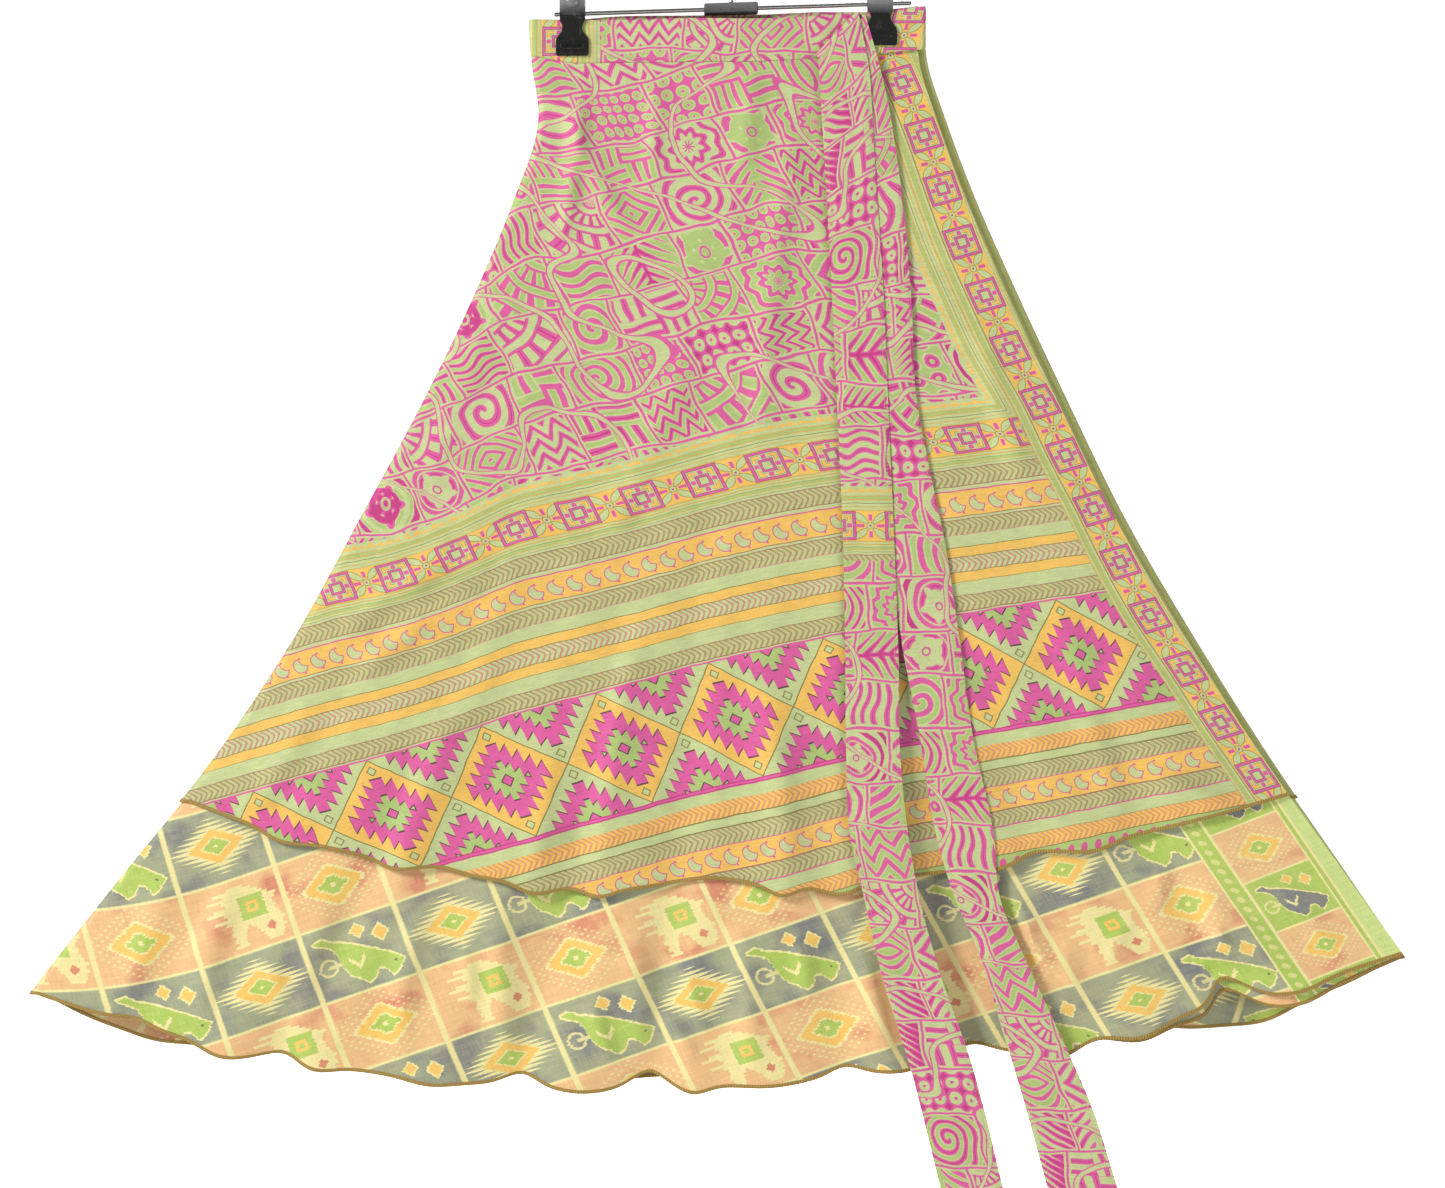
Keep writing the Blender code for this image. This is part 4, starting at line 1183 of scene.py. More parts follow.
class PrintedCloth(Finish):
    """The upper cloth: a patchwork of plain motifs over rows of stripes, squares and stars."""

    slot = "printed_cloth"
    wide = 104.0
    high = 84.0
    stroke = 8.6
    half = 15.2
    high_half = 12.5

    def dress(self) -> None:
        """Put the print together: rows, patchwork, edging, then the column of squares over all."""
        raw_u, raw_v = self.pair("cloth")
        off, along = self.pair("border")
        u = raw_u + (self.noise(raw_u, raw_v, 0.06, 1.0) - 0.5) * 1.8
        v = raw_v + (self.noise(raw_v, u, 0.05, 1.0) - 0.5) * 1.6
        above, beside = SQUARES_TOP - v, COLUMN_LEFT - off
        edge = above.least(beside)
        run = (above < beside).choose(along, u)
        in_column = (off > COLUMN_LEFT) * (off < COLUMN_RIGHT)
        facing = in_column * (abs(off) < COLUMN_HALF)
        squares = (abs(v) < self.high_half) * (1 - in_column)
        b = facing.choose(v, off * (self.high_half / COLUMN_HALF))
        colour = self.paint(
            self.rows(u, v),
            (edge > 0.0, self.mix(edge > EDGING_WIDE, self.edging(edge, run), self.patchwork(u, v))),
            (in_column, self.stripes(off, COLUMN_STRIPES)[0]),
            (squares.most(facing), self.squares(facing.choose(u, along), b)),
        )
        streak = self.noise(u * 0.15, v, 0.6, 3.0)
        fleck = self.noise(raw_u, raw_v, 0.8, 2.0)
        patch = self.noise(raw_u, raw_v, 0.045, 3.0)
        shade = 0.66 + streak * 0.26 + fleck * 0.26 + (patch - 0.5) * 0.22
        height = (u * 5.2).sine() * (v * 5.2).sine() * 0.25 + streak
        self.silk(colour, shade, height, 0.60 - patch * 0.10)

    def rows(self, u: Value, v: Value) -> Value:
        """Stripes with their chevrons, paisleys, dots and the row of stars.

        Args:
            u: place along the rows, in mm.
            v: place across them, in mm.

        Returns:
            the colour.
        """
        colour, code = self.stripes(v, ROW_STRIPES)
        span = 400.0
        tents = [(0.0, grey(0.0))]
        for middle in CHEVRON_MIDDLES:
            for shift, light in ((-CHEVRON_HALF, 0.0), (0.0, 1.0), (CHEVRON_HALF, 0.0)):
                tents.append(((middle + shift) / span, grey(light)))
        tent, _ = self.ramp(v / span, tents, "LINEAR")
        line = (u / CHEVRON_PITCH - tent * 1.3).part().near(0.5, 0.20)
        colour = self.paint(
            colour,
            (code.near(Motif.CHEVRON.value, 0.03) * line * 0.72, Dye.BROWN),
            (code.near(Motif.ROSE_CHEVRON.value, 0.03) * line * 0.75, Dye.ROSEWOOD),
            (code.near(Motif.CHEVRON_ON_ORANGE.value, 0.03) * line * 0.62, Dye.ROSEWOOD),
        )
        paisley = self.paisley(u.centred(PAISLEY_PITCH), v - (v > 200.0).choose(*PAISLEY_MIDDLES), colour)
        drop = v - DOT_MIDDLE
        dot = self.length(u.centred(DOT_PITCH) + drop * 0.5, drop * 0.75) < 3.0
        return self.paint(
            colour,
            (code.near(Motif.PAISLEY.value, 0.05), paisley),
            (dot * (abs(drop) < 6.0), Dye.PINK),
            (abs(v - STAR_MIDDLE) < STAR_HALF, self.stars(u, v)),
        )

    def paisley(self, x: Value, y: Value, ground: Value) -> Value:
        """A comma: a disc less a disc above and right of it, with a curl at its tip and a foot.

        Args:
            x: across from its middle, in mm.
            y: down from its middle, in mm.
            ground: the colour under it.

        Returns:
            the colour with the comma.
        """
        rim = (6.5 - self.length(x - 0.2, y - 0.2)).least(self.length(x - 6.6, y + 5.3) - 5.9)
        curl = 0.95 - self.length(x - 1.7, y + 6.4)
        foot = 0.9 - self.length(x - 2.7, y - 6.9)
        return self.paint(ground, (rim.most(curl.most(foot)) > 0.0, Dye.PINK), (rim > 0.85, Dye.SAGE))

    def stars(self, u: Value, v: Value) -> Value:
        """Toothed stars in a lattice of rhombi.

        With x and y the shares of a rhombus's half width and half height, a ring is x + y. Its teeth
        are a sawtooth wave of x, so one flank of each runs along y. The star's corners are cut off.

        Args:
            u: place along the row.
            v: place down the print.

        Returns:
            The colour.
        """
        x = abs(((u - STAR_START) / STAR_PITCH + 0.5).part() - 0.5) * 2
        y = abs(v - STAR_MIDDLE) / STAR_HALF
        other = x + y > 1.0
        x, y = other.choose(x, 1 - x), other.choose(y, 1 - y)
        ring = x + y
        outer = ((ring - (x / 0.145 + 0.30).part() * 0.26) / 0.60).most(x / 0.70).most(y / 0.67)
        inner = ((ring - (x / 0.114 + 0.54).part() * 0.18) / 0.28).most(x / 0.41).most(y / 0.36)
        stone = x + abs(y - 0.80)
        return self.paint(
            self.mix(other, Dye.ORANGE, Dye.SAGE),
            (outer < 1.0, Dye.DARK), (outer < 0.960, Dye.MAGENTA), (inner < 1.0, Dye.DARK),
            (inner < 0.92, Dye.GREEN), (ring < 0.118, Dye.DARK), (ring < 0.090, Dye.MAGENTA),
            (ring > 0.986, Dye.OLIVE), (stone < 0.092, Dye.OLIVE), (stone < 0.066, Dye.SAGE),
        )

    def squares(self, a: Value, b: Value) -> Value:
        """Nested squares by the larger of two distances, and four-leaved flowers between them.

        Args:
            a: place along the row.
            b: place across it.

        Returns:
            The colour.
        """
        count, share = a / PRINT.square_pitch, PRINT.square_pitch / self.half
        x, y = abs((count + 0.5).part() - 0.5) * share, abs(b) / self.high_half
        outer, inner = x.most(y), x.least(y)
        square, _ = self.ramp(outer, (
            (0.0, Dye.SAGE), (0.235, Dye.DARK), (0.265, Dye.MAGENTA), (0.39, Dye.DARK),
            (0.415, Dye.SAGE), (0.50, Dye.BROWN), (0.525, Dye.ORANGE), (0.69, Dye.BROWN),
            (0.715, Dye.SAGE), (0.785, Dye.DARK), (0.81, Dye.MAGENTA), (0.955, Dye.DARK),
        ))
        side = outer.near(0.60, 0.14)
        square = self.paint(square, (side * (inner < 0.27), Dye.SAGE), (side * (inner < 0.13), Dye.MAGENTA))
        far = abs(count.part() - 0.5) * share
        leaf_along = (far + y) * 0.707
        leaf = ((leaf_along - 0.14) * 2.55).sine() * 0.24 - abs(far - y) * 0.707
        leaf = leaf * (leaf_along < 1.3) * (outer > 0.985)
        bar = (far.least(y) < 0.10) * far.most(y).near(0.56, 0.22)
        centre, solid = self.ramp(
            self.length(far, y), ((0.0, Dye.DEEP), (0.07, Dye.SAGE), (0.19, Dye.OLIVE), (0.225, CLEAR))
        )
        return self.paint(
            Dye.ORANGE, (outer < 0.985, square), (leaf > 0.0, Dye.OLIVE), (leaf > 0.04, Dye.SAGE),
            (bar, Dye.MAGENTA), (solid, centre),
        )

    def edging(self, edge: Value, run: Value) -> Value:
        """Lines and one scalloped band round the patchwork."""
        wave = (run / 8.2).tooth() * 1.2 + (self.noise(run, 0.0, 0.12, 2.0) - 0.5) * 7.0
        return self.mix((edge > 15.6) * (edge < 17.8 + wave), self.stripes(edge, EDGING)[0], Dye.ORANGE)

    def blocks(self, place: Value, share: float, size: float) -> tuple[Value, Value, Value]:
        """Two unlike blocks in each period: a block's number, the place from its middle, its half.

        Args:
            place: place in periods.
            share: the first block's share of a period.
            size: length of a period, in mm.

        Returns:
            the number, and the place and half in mm.
        """
        early = place.part() < share
        half = early.choose(1 - share, share) * (size / 2)
        return place.floor() * 2 + early, (place.part() - (1 - early) * share) * size - half, half

    def patchwork(self, u: Value, v: Value) -> Value:
        """Blocks of unlike size, each with one plain motif out of eleven, and vines across them.

        Slow noise bends all lines, as a hand-cut block print does. A motif is a number that is
        positive on its light shapes; three ramps turn it into magenta, sage and green.

        Args:
            u: place along the rows.
            v: place down the print.

        Returns:
            The colour.
        """
        bend_u, bend_v = self.noise(u, v, 0.020, 1.0) - 0.5, self.noise(v, u, 0.020, 1.0) - 0.5
        u, v = u + bend_u * 13.0, v + bend_v * 13.0
        line, y, half_high = self.blocks(v / self.high, 0.54, self.high)
        number, x, half_wide = self.blocks(u / self.wide + line * 0.37, 0.57, self.wide)
        margin = (half_wide - abs(x)).least(half_high - abs(y))
        drawn = {"Vector": self.point(number, line)}
        lot = self.node("ShaderNodeTexWhiteNoise", {"noise_dimensions": "2D"}, drawn)
        kind, ink, turn = self.channels(lot.outputs["Color"])
        swap, flip = turn > 0.6, 1 - 2 * turn.near(0.45, 0.15)
        bold = 0.62 + (turn * 7.3).part() * 0.55
        field_x, field_y = swap.choose(x, y) * flip * bold, swap.choose(y, x) * bold
        level = self.motif((kind * 11).floor(), field_x, field_y) * 0.5 + 0.5
        plain, cored, green = (self.ramp(level, stops)[0] for stops in (
            ((0.0, Dye.DEEP), (0.08, Dye.MAGENTA), (0.47, Dye.SAGE)),
            ((0.0, Dye.MAGENTA), (0.40, Dye.SAGE), (0.64, Dye.GREEN)),
            ((0.0, Dye.GREEN), (0.26, Dye.SAGE), (0.52, Dye.MAGENTA), (0.86, Dye.DEEP)),
        ))
        vine = abs(self.noise(u - v * 0.4, v, 0.011, 0.0) - 0.47)
        return self.paint(
            plain, (ink > 0.38, cored), (ink > 0.74, green), (margin < 2.6, Dye.SAGE),
            (margin < 1.0, Dye.MAGENTA), (vine < 0.020, Dye.MAGENTA), (vine < 0.012, Dye.SAGE),
        )

    def motif(self, kind: Value, x: Value, y: Value) -> Value:
        """The field of a block's motif, drawn in strokes of one width all over.

        Args:
            kind: a whole number from 0 to 10.
            x: place across, from the block's middle.
            y: place up.

        Returns:
            A number from about -1 to 1, positive on the light shapes.
        """
        size = self.stroke
        r, angle = self.length(x, y), self.math("ARCTAN2", y, x)
        wide, high = abs(x), abs(y)
        corner_x, corner_y = x + 27.0, y + 21.0
        corner = self.length(corner_x, corner_y)
        rays = (self.math("ARCTAN2", corner_y, corner_x) * 3.4).tooth()
        fan = ((corner / (size * 2.0)).part() < 0.5).choose((corner / size).tooth(), rays)
        spiral = (r / size + angle / math.tau).tooth()
        rosette = (r / size + (angle * 9).cosine() * 0.17).tooth()
        diamonds = ((wide + high) / (size * 1.15)).tooth()
        leaves = ((y - wide * 0.8) / size).tooth() + 0.40 - wide * 0.05
        sprig = leaves.most((1.8 - wide) * 0.7)
        basket = ((x * y > 0.0).choose(x, y) / size + 0.2).tooth()
        petals = ((angle * 5).cosine() * 0.28 + 0.66 - r / 15.0) * 4
        flower = petals.most((r - 15.5) * 0.4 * (r / size).tooth()).least((r - 3.4) * 1.5)
        flower = flower.most((2.0 - r) * 1.5)
        waves = (y / size + (x / 5.5).sine() * 0.32).tooth()
        almonds = (high / size + x * x / 300.0 + 0.3).tooth()
        dot = self.length(x.centred(10.5), y.centred(10.5))
        beads = (3.9 - dot).least((dot - 1.2) * 2) * 0.5
        zigzag = (y / size + (x / 13.0).tooth() * 0.5).tooth()
        fields = (spiral, rosette, diamonds, fan, sprig, basket, flower, waves, almonds, beads, zigzag)
        total: Operand = 0.0
        for number, each in enumerate(fields):
            total = kind.near(number, 0.3).plus(each, total)
        return total


class UnderCloth(Finish):
    """The under cloth: rows of cells with elephants, parrots and two kinds of diamond."""

    slot = "under_cloth"

    def dress(self) -> None:
        """Cells everywhere, then the end border with its two green bands and its own cells."""
        column, row = self.pair("cloth")
        off, down = self.pair("border")
        in_border = off > 9.5
        x, y = column + 1.5, row + 1.5
        border_y = (down - 801.0 + (off - 42.0) * 0.3) / 41.0 + 0.5
        column_share = in_border.choose(x.part(), (off - 9.5) / 74.0)
        row_share = in_border.choose(y.part(), border_y.part())
        odd_level = in_border.choose(y.floor() % 2.0, border_y.floor() % 2.0)
        odd_column = (x.floor() % 2.0).most(in_border)
        fuzz = (self.noise(column * 2.0, row * 21.0, 1.7, 2.0) - 0.5) * 0.13
        blot = self.noise(column, row, 1.7, 2.0)
        salmon = self.mix((blot - 0.56) * 5, Dye.SALMON, Dye.ROSE)
        slate = self.paint(Dye.SLATE, ((blot - 0.46) * 4.5, Dye.DUSK), (in_border, Dye.LEAF))
        upward = row_share * 2 - 1
        cell = (column_share * 2 - 1 + fuzz, upward, self.mix(odd_level, salmon, slate))
        warm = self.mix(odd_column, self.elephant(*cell), self.dotted(*cell))
        cool = self.mix(odd_column, self.flame(*cell), self.parrot(*cell, in_border))
        line = abs(column_share * 2 - 1 + fuzz * 0.2).most(abs(upward) - 0.02)
        streak = self.noise(column * 4.0, row * 46.0, 1.0, 3.0)
        hatch = self.noise(column * 70.0, row * 5.0, 1.0, 2.0)
        wash = self.noise(column, row, 0.9, 2.0)
        bands, solid = self.end_border(off, down)
        colour = self.paint(
            self.mix(odd_level, warm, cool), ((line - 0.925) * 28, Dye.CREAM), (solid, bands),
            (wash * 0.20 + streak * 0.14 + (hatch - 0.5) * 0.16, Dye.CREAM),
        )
        height = self.noise(column * 60.0, row * 220.0, 1.0, 1.0)
        self.silk(colour, 0.78 + streak * 0.22 + hatch * 0.20, height, 0.52 - streak * 0.06)

    def dotted(self, x: Value, y: Value, ground: Value) -> Value:
        """Stepped rings by the sum of two shares, with rows of dots beside them.

        Args:
            x: across the cell, from -1 to 1.
            y: down the cell, from -1 to 1.
            ground: its colour.

        Returns:
            the cell's colour.
        """
        step_x, step_y = ((x * 21).floor() + 0.5) / 21, ((y * 17).floor() + 0.5) / 17
        ring = abs(step_x) / 0.74 + abs(step_y) / 0.66
        rings, solid = self.ramp(ring, (
            (0.0, Dye.CREAM), (0.13, Dye.LEAF), (0.42, Dye.CREAM), (0.50, Dye.GOLD), (0.84, Dye.CREAM),
            (0.96, CLEAR),
        ))
        first, second = (((x / 0.74 + y * way / 0.66) * 3.6).tooth() for way in (1, -1))
        dot = (first.least(second) > 0.18) * (ring > 1.04) * (ring < 1.72)
        return self.paint(ground, (dot * 0.75, Dye.CREAM), (solid, rings))

    def flame(self, x: Value, y: Value, ground: Value) -> Value:
        """A diamond whose cream rim runs out in pointed streaks along the rows.

        Args:
            x: across the cell, from -1 to 1.
            y: down the cell, from -1 to 1.
            ground: its colour.

        Returns:
            the cell's colour.
        """
        spike = abs((y * 8.0).part() - 0.5)
        reach = abs(x) * 0.85 + abs(y) * 1.05
        rings, solid = self.ramp(reach, (
            (0.0, Dye.CREAM), (0.05, Dye.LEAF), (0.24, Dye.CREAM), (0.285, Dye.GOLD), (0.50, CLEAR),
        ))
        return self.paint(ground, (reach - spike * 0.85 < 0.50, Dye.CREAM), (solid, rings))

    def elephant(self, x: Value, y: Value, ground: Value) -> Value:
        """A cream elephant in streaks, with a green saddle cloth and a spot of the ground's red.

        Args:
            x: across the cell, from -1 to 1.
            y: down the cell, from -1 to 1.
            ground: its colour.

        Returns:
            the cell's colour.
        """
        a, b = x * 0.5 + 0.5, y * 0.5 + 0.5
        colour, gap_end = self.ramp(b, [(row[0], row[1:]) for row in ELEPHANT.rows])
        left, right, gap = self.channels(colour)
        body = (a > left) * (a < right) * (1 - (a > gap) * (a < gap_end))
        saddle = (abs(a - 0.66) * 0.9).most(abs(b - 0.42) * 0.75)
        spot = abs(a - 0.80) + abs(b - 0.74) * 0.8
        return self.paint(
            ground, (body * 0.92, Dye.CREAM), (saddle < 0.118, Dye.LEAF),
            ((saddle < 0.055) * (saddle > 0.025), Dye.GOLD), (spot < 0.055, Dye.ROSE),
        )

    def parrot(self, x: Value, y: Value, ground: Value, in_border: Value) -> Value:
        """A green parrot, slate blue in the border, with a cream rim, two gold diamonds and claws.

        Args:
            x: across the cell, from -1 to 1.
            y: down the cell, from -1 to 1.
            ground: its colour.
            in_border: 1 in the end border, else 0.

        Returns:
            the cell's colour.
        """
        a, b = x * 0.5 + 0.5, y * 0.5 + 0.5
        colour, _ = self.ramp(a, [(place, (*edges, 0.0, 1.0)) for place, *edges in PARROT.rows], "LINEAR")
        top, bottom, _ = self.channels(colour)
        depth = (b - top).least(bottom - b)
        claws = abs(self.length(a - 0.17, (b - 0.56) * 0.8) - 0.085) < 0.014
        leg = (abs(b - 0.56) < 0.025) * (abs(a - 0.24) < 0.07)
        gem = abs(a - 0.56) / 0.075 + abs(b - 0.19) / 0.10
        gem = gem.least(abs(a - 0.78) / 0.085 + abs(b - 0.30) / 0.12)
        wing = (abs(b - 0.66 + abs(a - 0.47) * 1.5) < 0.035) * (abs(a - 0.47) < 0.085)
        eye = self.length(a - 0.83, (b - 0.73) * 0.8) < 0.014
        return self.paint(
            ground, (claws.most(leg) * 0.8, Dye.CREAM), (gem < 1.15, Dye.CREAM), (gem < 0.85, Dye.GOLD),
            (depth > 0.0, Dye.CREAM), (depth > 0.032, self.mix(in_border, Dye.LEAF, Dye.DUSK)),
            (wing, Dye.CREAM), (eye, Dye.DARK),
        )

    def end_border(self, off: Value, down: Value) -> tuple[Value, Value]:
        """Green bands with cream edges and small crosses, the plain green selvedge, and their mask.

        Args:
            off: place across from the row of crosses, in mm.
            down: place down it, in mm.

        Returns:
            the colour and the mask.
        """
        bands, solid = self.ramp((off + 20) / 140, [(place / 140, dye) for place, dye in (
            (0.0, CLEAR), (9.5, Dye.CREAM), (12, Dye.LEAF), (28, Dye.CREAM), (30.5, CLEAR),
            (103, Dye.LEAF), (107, Dye.CREAM), (109.5, Dye.SELVEDGE),
        )])
        cross = ((down / 8.0).tooth() * 0.5 + 0.5) * (1 - abs(off) / 6.5) > 0.38
        return self.mix(cross * 0.6 * (abs(off) < 6.5), bands, Dye.CREAM), solid


class OverlockThread(Finish):
    """Overlock thread, its turns alternating in tone."""

    slot = "thread"
    light = Dye.THREAD
    dark = Dye.THREAD_DARK

    def dress(self) -> None:
        """Turns of thread: slanted bands of the two tones with a twist bump."""
        along, around = self.pair("thread")
        turn = (along / 2.3 + around * 0.5).tooth() * 0.5 + 0.5
        speck = self.noise(along, around * 3, 0.8, 2.0)
        colour = self.mix(turn * 0.75 + (speck - 0.5) * 0.5, self.dark, self.light)
        self.surface(0.6, 0.0004, turn, {"Base Color": colour, "Roughness": 0.7})


class TopstitchThread(OverlockThread):
    """Topstitch thread, in the cloth's greens."""

    light = Dye.SAGE
    dark = Dye.GREEN


class SteelFinish(Finish):
    """Chrome-plated steel with fine drawn lines."""

    slot = "steel"

    def dress(self) -> None:
        """A bright metal whose roughness wanders along the wire."""
        grain = self.grain(420.0, 3.0)
        colour = self.mix(grain, (0.46, 0.46, 0.45, 1.0), (0.62, 0.62, 0.60, 1.0))
        look = {"Base Color": colour, "Metallic": 1.0, "Roughness": 0.16 + grain * 0.14}
        self.surface(0.08, 0.0002, grain, look)


class PlasticFinish(Finish):
    """Black moulded plastic with light scuffs."""

    slot = "black_plastic"

    def dress(self) -> None:
        """Near-black, glossy, with a faint orange peel, light scuffs from the grain, and a painted
        reflection: paler grey on the levers, above a fixed height.
        """
        grain = self.grain(160.0, 4.0)
        where = self.node("ShaderNodeTexCoord").outputs["Object"]
        height = self.values(self.node("ShaderNodeSeparateXYZ", None, {0: where}), 3)[2]
        # painted reflection: the base colour turns paler grey above a fixed height, over the levers; the
        # grain adds real scuffs
        painted_reflection = ((height + 0.089) * 90).most(0.0).least(1.0)
        scuffs_and_painted_reflection = painted_reflection * 0.8 + (grain - 0.62).most(0.0) * 2.0
        self.surface(0.12, 0.0004, grain, {
            "Base Color": self.mix(scuffs_and_painted_reflection, (0.013, 0.013, 0.012, 1.0), (0.27, 0.275, 0.275, 1.0)),
            "Roughness": 0.20 + grain * 0.14, "Coat Weight": 0.5, "Coat Roughness": 0.08,
        })


@dataclass(frozen=True)
class Finishes:
    """Every finish, made once."""

    upper: Finish = field(default_factory=lambda: PrintedCloth("printed_cloth"))
    under: Finish = field(default_factory=lambda: UnderCloth("under_cloth"))
    overlock: Finish = field(default_factory=lambda: OverlockThread("overlock_thread"))
    topstitch: Finish = field(default_factory=lambda: TopstitchThread("topstitch_thread"))
    steel: Finish = field(default_factory=lambda: SteelFinish("bright_steel"))
    plastic: Finish = field(default_factory=lambda: PlasticFinish("moulded_plastic"))


@dataclass(frozen=True)
class Overlock:
    """The overlocked edge of a hem: a strip of thread turns wrapped round the cloth's edge."""

    deep: float = 3.0
    lift: float = 0.42
    turn: float = 2.3
    step: float = 0.8
    bed: float = 0.12

    def sew(self, node: str, grid: Grid, wall: float, finish: Finish) -> bpy.types.Object:
        """Carry a flat ring along the grid's last row, its outside swelling with each slanted turn.

        Args:
            node: the panel's node.
            grid: the cloth's middle.
            wall: the cloth's thickness.
            finish: the thread.

        Returns:
            The strip.
        """
        along = travel(grid.points[-1])
        t = np.linspace(0.0, along[-1], int(along[-1] / self.step) + 1)
        lines = grid.points[-1], grid.points[-2], grid.normals()[-1]
        edge, above, normal = (read(line, along, t)[:, None, :] for line in lines)
        rise, side = np.array([
            (1.0, -0.1), (1.0, 1.0), (0.5, 1.15), (0.0, 1.0), (-0.13, 0.0),
            (0.0, -1.0), (0.5, -1.15), (1.0, -1.0),
        ]).T
        swell = np.abs(np.sin(np.pi * (t[:, None] / self.turn + rise * 0.5)))
        out = side * (wall / 2 + self.bed + self.lift * swell * np.abs(side))
        height = rise * self.deep * (0.86 + 0.14 * swell) - 0.25 * swell
        sections = edge + unit(above - edge) * height[..., None] + normal * out[..., None]
        return tube_strip(f"{node}_overlock", sections, t, rise, finish)


@dataclass(frozen=True)
class Topstitch:
    """A row of stitches: each a small pointed bar with eight faces, lying on the cloth."""

    length: float = 2.3
    pitch: float = 3.1
    radius: float = 0.26

    def sew(self, node: str, lines: Sequence[tuple[Array, Array]], finish: Finish) -> bpy.types.Object:
        """Lay stitches along lines.

        Args:
            node: the cloth's node.
            lines: points of each line and the cloth's outward normals there.
            finish: the thread.

        Returns:
            One mesh with every stitch: an octahedron stretched along the line.
        """
        bodies, places = [], []
        for points, outward in lines:
            along = travel(points)
            starts = np.arange(self.pitch / 2, along[-1] - self.length, self.pitch)
            head, tail = read(points, along, starts), read(points, along, starts + self.length)
            out = read(outward, along, starts) * self.radius
            side = np.cross(unit(tail - head), out)
            middle = (head + tail) / 2 + out * 0.4
            bodies.append(np.stack([head, middle + side, middle + out, middle - side, middle - out, tail], 1))
            places.append(starts)
        body = np.concatenate(bodies)
        faces = np.array([
            (0, 1, 2), (0, 2, 3), (0, 3, 4), (0, 4, 1), (5, 2, 1), (5, 3, 2), (5, 4, 3), (5, 1, 4),
        ])
        faces = (faces + np.arange(len(body))[:, None, None] * 6).reshape(-1, 3)
        maps = {"thread": stacked(np.repeat(np.concatenate(places), faces.size // len(body)), 0.0)}
        return build_mesh(f"{node}_topstitch", body.reshape(-1, 3), faces, maps, finish, rounded=False)


def worn_edge(share: Array, power: int, least: float) -> Array:
    """A wall's share of its full thickness, less at both edges: the root of 1.02 - |share|^power."""
    return np.sqrt(np.clip(1.02 - np.abs(share) ** power, least, 1.0))


